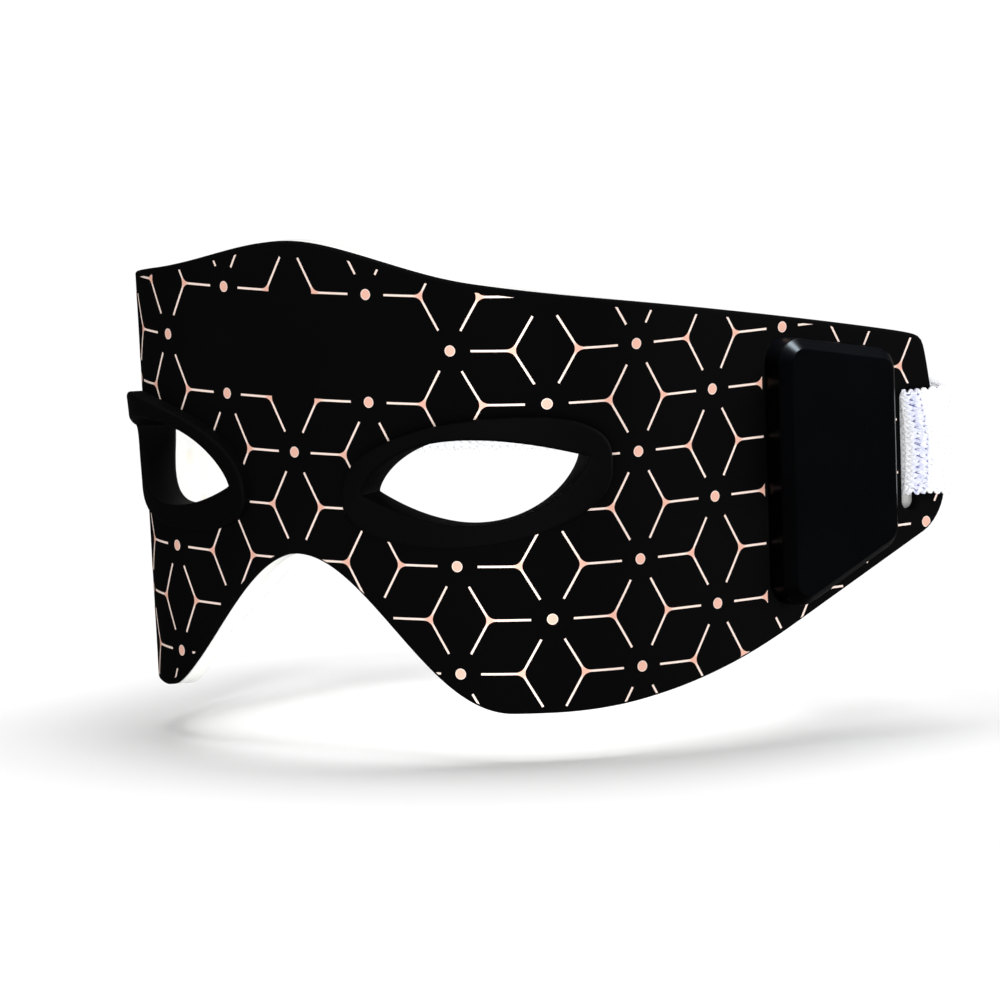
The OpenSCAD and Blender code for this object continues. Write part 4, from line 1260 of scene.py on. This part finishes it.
class MASK_OT_strap(bpy.types.Operator):
    """Make the knitted elastic strap, with its ribs and looped edges, and finish its hook tapes"""
    bl_idname = "mask.strap"
    bl_label = "Head strap"

    def execute(self, context):
        look = context.scene.mask_strap
        half = strap_route()
        full = [np.array([-p[0], p[1]]) for p in half[:0:-1]] + half
        centre = SLOT_Z + SLOT_H / 2 - STRAP_GAP - STRAP_W / 2
        data = bpy.data.curves.new("head_strap_knit", "CURVE")
        data.dimensions = "3D"
        spline = data.splines.new("POLY")
        spline.points.add(len(full) - 1)
        for point, p in zip(spline.points, full):
            point.co = (p[0] * MM, p[1] * MM, centre * MM, 1)
        route = bpy.data.objects.new("head_strap_knit", data)
        context.scene.collection.objects.link(route)
        bend = flat_at(STRAP_S + 0.9, 1.6)
        strap = grown(route, self.tree(), material=self.yarn(look), ribs=look.ribs,
                      stitch=look.stitch, width=STRAP_W * MM, thickness=STRAP_T * MM,
                      bend_x=bend[0] * MM, bend_y=bend[1] * MM, middle_height=centre * MM,
                      temple_turn=math.radians(sum(BEND_TURN)))
        placed(smoothed(strap), "mask", "strap_fabric", "head_strap")
        hooks = surface("hook_tape", (0.7, 0.71, 0.74), 0.7, fine=1500, patch=400, bump=0.8,
                        spread=0.2, depth=0.0002)
        repaint(hooks, "hook_tape_left", "hook_tape_right")
        return {"FINISHED"}

    def tree(self):
        """Sweeps a ribbed section along the strap's line, knits it and pinches it in the slots."""
        tree = geometry_tree("knitted_strap")
        socket(tree, "Material", "Material")
        socket(tree, "Ribs", "Int", 18)
        for name, value in (("Stitch", 0.0014), ("Width", 0.018), ("Thickness", 0.0014),
                            ("Relief", 0.00012), ("Scallop", 0.00045), ("Waist", 1.0),
                            ("Bend x", 0.0), ("Bend y", 0.0), ("Temple turn", 1.38),
                            ("Middle height", 0.0128)):
            socket(tree, name, "Float", value)
        n = Nodes(tree)
        given = n.given()
        x, y, z = n.split(n.position())
        line = n.call("GeometryNodeResampleCurve", {
            "Curve": given["Geometry"], "Length": given["Stitch"] * 0.25}, mode="LENGTH")
        line = n.mark(line, "along", n.call("GeometryNodeSplineParameter", None, "Length"))
        line = n.call("GeometryNodeSetCurveNormal", {"Curve": line}, mode="Z_UP")

        # Two samples for each rib on both faces, at its crest and in the groove beside it
        each = given["Ribs"] * 2.0 + 1.0
        profile = n.call("GeometryNodeCurvePrimitiveCircle", {"Resolution": each * 2.0}, "Curve")
        index = n.call("GeometryNodeInputIndex")
        behind = n.math("GREATER_THAN", index, each - 0.5)
        share = (index - behind * each) / (each - 1.0) - 0.5
        facing = 1.0 - behind * 2.0
        profile = n.mark(profile, "across", share * facing * given["Width"])
        slim = 1.0 - 0.45 * n.math("POWER", n.size(share * 2.0), 30.0)
        profile = n.call("GeometryNodeSetPosition", {
            "Geometry": profile,
            "Position": n.vector(given["Thickness"] * 0.44 * facing * slim, n.read("across"), 0.0)})
        band = n.call("GeometryNodeCurveToMesh", {
            "Curve": line, "Profile Curve": profile, "Fill Caps": True})

        # Each rib is a chain of stitches, and neighbouring chains lean against each other
        across = n.read("across")
        half, pitch = given["Width"] * 0.5, given["Width"] / given["Ribs"]
        wave = n.cosine(across / pitch * (2 * math.pi))
        beat = n.sine(n.read("along") / given["Stitch"] * (2 * math.pi))
        lift = given["Relief"] * (wave * 0.7 + beat * wave * 0.5 + beat * 0.3)
        away = n.call("ShaderNodeVectorMath", {
            0: n.call("GeometryNodeInputNormal"), "Scale": lift}, operation="SCALE")
        hem = n.math("MAXIMUM", n.size(across) - (half - pitch), 0.0) / pitch
        scallop = hem * given["Scallop"] * beat * n.math("SIGN", across)

        # Where it bends round the bar the strap's corners pull away from the bar, the top one most
        gap_x, gap_y = n.size(x) - given["Bend x"], y - given["Bend y"]
        gap = n.math("SQRT", gap_x * gap_x + gap_y * gap_y)
        close, bend_shade_mask = (n.ramp(gap, far * MM, near * MM, interpolation_type="SMOOTHSTEP")
                              for far, near in ((7, 2), (2.4, 1.0)))
        # Painted shade: the second mask, stored as opened, marks the yarn close round the bend that
        # gets a painted lavender shade and darker gaps
        band = n.mark(band, "opened", bend_shade_mask)
        up = (z - given["Middle height"]) / half
        pinch = (up * -0.4 + up * up * -1.3) * close * given["Waist"] * MM
        narrow = (1.0 - up) * close * given["Waist"] * (0.35 * MM)
        turn = given["Temple turn"]
        shift = n.vector(pinch * n.cosine(turn) * n.math("SIGN", x), pinch * n.sine(turn),
                         scallop + narrow)
        moved = n.call("ShaderNodeVectorMath", {0: away, 1: shift}, operation="ADD")
        close_tree(n, n.call("GeometryNodeSetPosition", {"Geometry": band, "Offset": moved}),
                   given["Material"])
        return tree

    def yarn(self, look):
        """White yarn in columns of slanting stitches."""
        material = surface("strap_yarn", look.colour, 0.85, specular=0.2, fine=3000, patch=300,
                           bump=0.2, spread=0.04)
        n, inputs = opened(material)
        along, across, bend_shade = (n.attribute(name) for name in ("along", "across", "opened"))
        pitch = STRAP_W * MM / look.ribs
        uneven = ranged(n, grain(n, 3000, 700)[1], -0.3, 0.3)
        column = n.math("FRACT", (across + STRAP_W * MM) / pitch + 0.5 + uneven)
        lean = n.size(column - 0.5)
        course = n.math("FRACT", along / look.stitch + lean * 1.2 + uneven)
        loop = n.sine(course * math.pi)
        n.set(inputs["Sheen Weight"], 0.3)
        n.set(inputs["Sheen Roughness"], 0.5)
        n.set(inputs["Normal"], n.call("ShaderNodeBump", {
            "Strength": 0.6, "Distance": 0.0003, "Height": loop}))

        # Painted shade: the gaps between the stitches are painted dark blue, more so near the bend
        # round the bar, and the yarn near the bend is painted a lavender shade
        holes = n.ramp(loop, 0.55, 0.15) * n.ramp(lean, 0.2, 0.4) * (bend_shade * 0.65 + 0.35)
        patches = ranged(n, grain(n, 3000, 1100)[1], 0.3, 1.0)
        yarn = tinted(n, bend_shade * patches, look.colour, look.shade)
        n.set(inputs["Base Color"], tinted(n, holes, yarn, look.core))
        return material


# Finishes of the CAD nodes that are shown as they are: (name, colour, roughness, settings, nodes)
INNER_FINISHES = (
    ("amber_circuit_film", (0.55, 0.26, 0.05), 0.3, {"fine": 1800, "patch": 90, "bump": 0.05},
     ("flex_circuit",)),
    ("light_gel", (0.93, 0.84, 0.5), 0.25, {"fine": 900, "patch": 400, "bump": 0.03},
     ("brow_lights", "cheek_lights_left", "cheek_lights_right")),
    ("grey_plastic", (0.09, 0.09, 0.1), 0.55, {"fine": 4200},
     ("rim_clip_left", "rim_clip_right", "controller_base")),
    ("solder_mask", (0.02, 0.17, 0.08), 0.3, {"fine": 2200, "patch": 200, "bump": 0.08},
     ("control_board",)),
    ("chip_epoxy", (0.03, 0.03, 0.033), 0.6, {"fine": 6000, "patch": 200, "bump": 0.15},
     ("board_chips",)),
    ("white_nylon", (0.83, 0.83, 0.8), 0.5, {"fine": 3000, "patch": 80, "bump": 0.05},
     ("flex_connector",)),
    ("brushed_steel", (0.62, 0.63, 0.65), 0.28,
     {"metallic": 1.0, "fine": 7000, "patch": 300, "bump": 0.06},
     ("charge_socket", "button_switch", "case_screws")),
    ("frosted_light", (0.8, 0.88, 0.82), 0.4, {"fine": 3000, "patch": 300, "bump": 0.05},
     ("status_light",)),
    ("cell_foil", (0.7, 0.71, 0.74), 0.38, {"metallic": 0.8, "fine": 900, "patch": 120},
     ("battery",)),
    ("foam_pad", (0.05, 0.05, 0.05), 0.95,
     {"fine": 2500, "patch": 400, "bump": 0.6, "depth": 0.0001}, ("battery_pad",)),
    ("lead_insulation", (0.5, 0.04, 0.03), 0.4, {"fine": 3000, "patch": 300, "bump": 0.03},
     ("battery_leads",)),
)


class MASK_OT_inner_parts(bpy.types.Operator):
    """Finish the circuit, lights, board, battery and small parts inside"""
    bl_idname = "mask.inner_parts"
    bl_label = "Inner parts"

    def execute(self, context):
        for name, colour, rough, settings, nodes in INNER_FINISHES:
            repaint(surface(name, colour, rough, **settings), *nodes)
        return {"FINISHED"}


LOOKS = (("mask_sheet", SheetLook), ("mask_print", PrintLook), ("mask_strap", StrapLook),
         ("mask_stage", StageLook))
OPERATORS = (MASK_OT_stage, MASK_OT_outer_skin, MASK_OT_liner, MASK_OT_eye_rims, MASK_OT_print,
             MASK_OT_controller, MASK_OT_strap, MASK_OT_inner_parts)


class MASK_PT_panel(bpy.types.Panel):
    """Lists the pieces and their settings"""
    bl_idname = "MASK_PT_panel"
    bl_label = "Eye Mask"
    bl_space_type = "VIEW_3D"
    bl_region_type = "UI"
    bl_category = "Eye Mask"

    def draw(self, context):
        for title, (name, _) in zip(("Sheet", "Print", "Strap", "Stage"), LOOKS):
            group = getattr(context.scene, name)
            box = self.layout.box()
            box.label(text=title)
            for key in group.__annotations__:
                box.prop(group, key)
        for operator in OPERATORS:
            self.layout.operator(operator.bl_idname)


CLASSES = (*(look for _, look in LOOKS), *OPERATORS, MASK_PT_panel)


def register():
    for kind in CLASSES:
        bpy.utils.register_class(kind)
    for name, look in LOOKS:
        setattr(bpy.types.Scene, name, bpy.props.PointerProperty(type=look))


def unregister():
    for name, _ in LOOKS:
        delattr(bpy.types.Scene, name)
    for kind in reversed(CLASSES):
        bpy.utils.unregister_class(kind)


def main():
    register()
    for name in ("stage", "outer_skin", "liner", "eye_rims", "print", "controller", "strap",
                 "inner_parts"):
        getattr(bpy.ops.mask, name)()


if __name__ == "__main__":
    main()
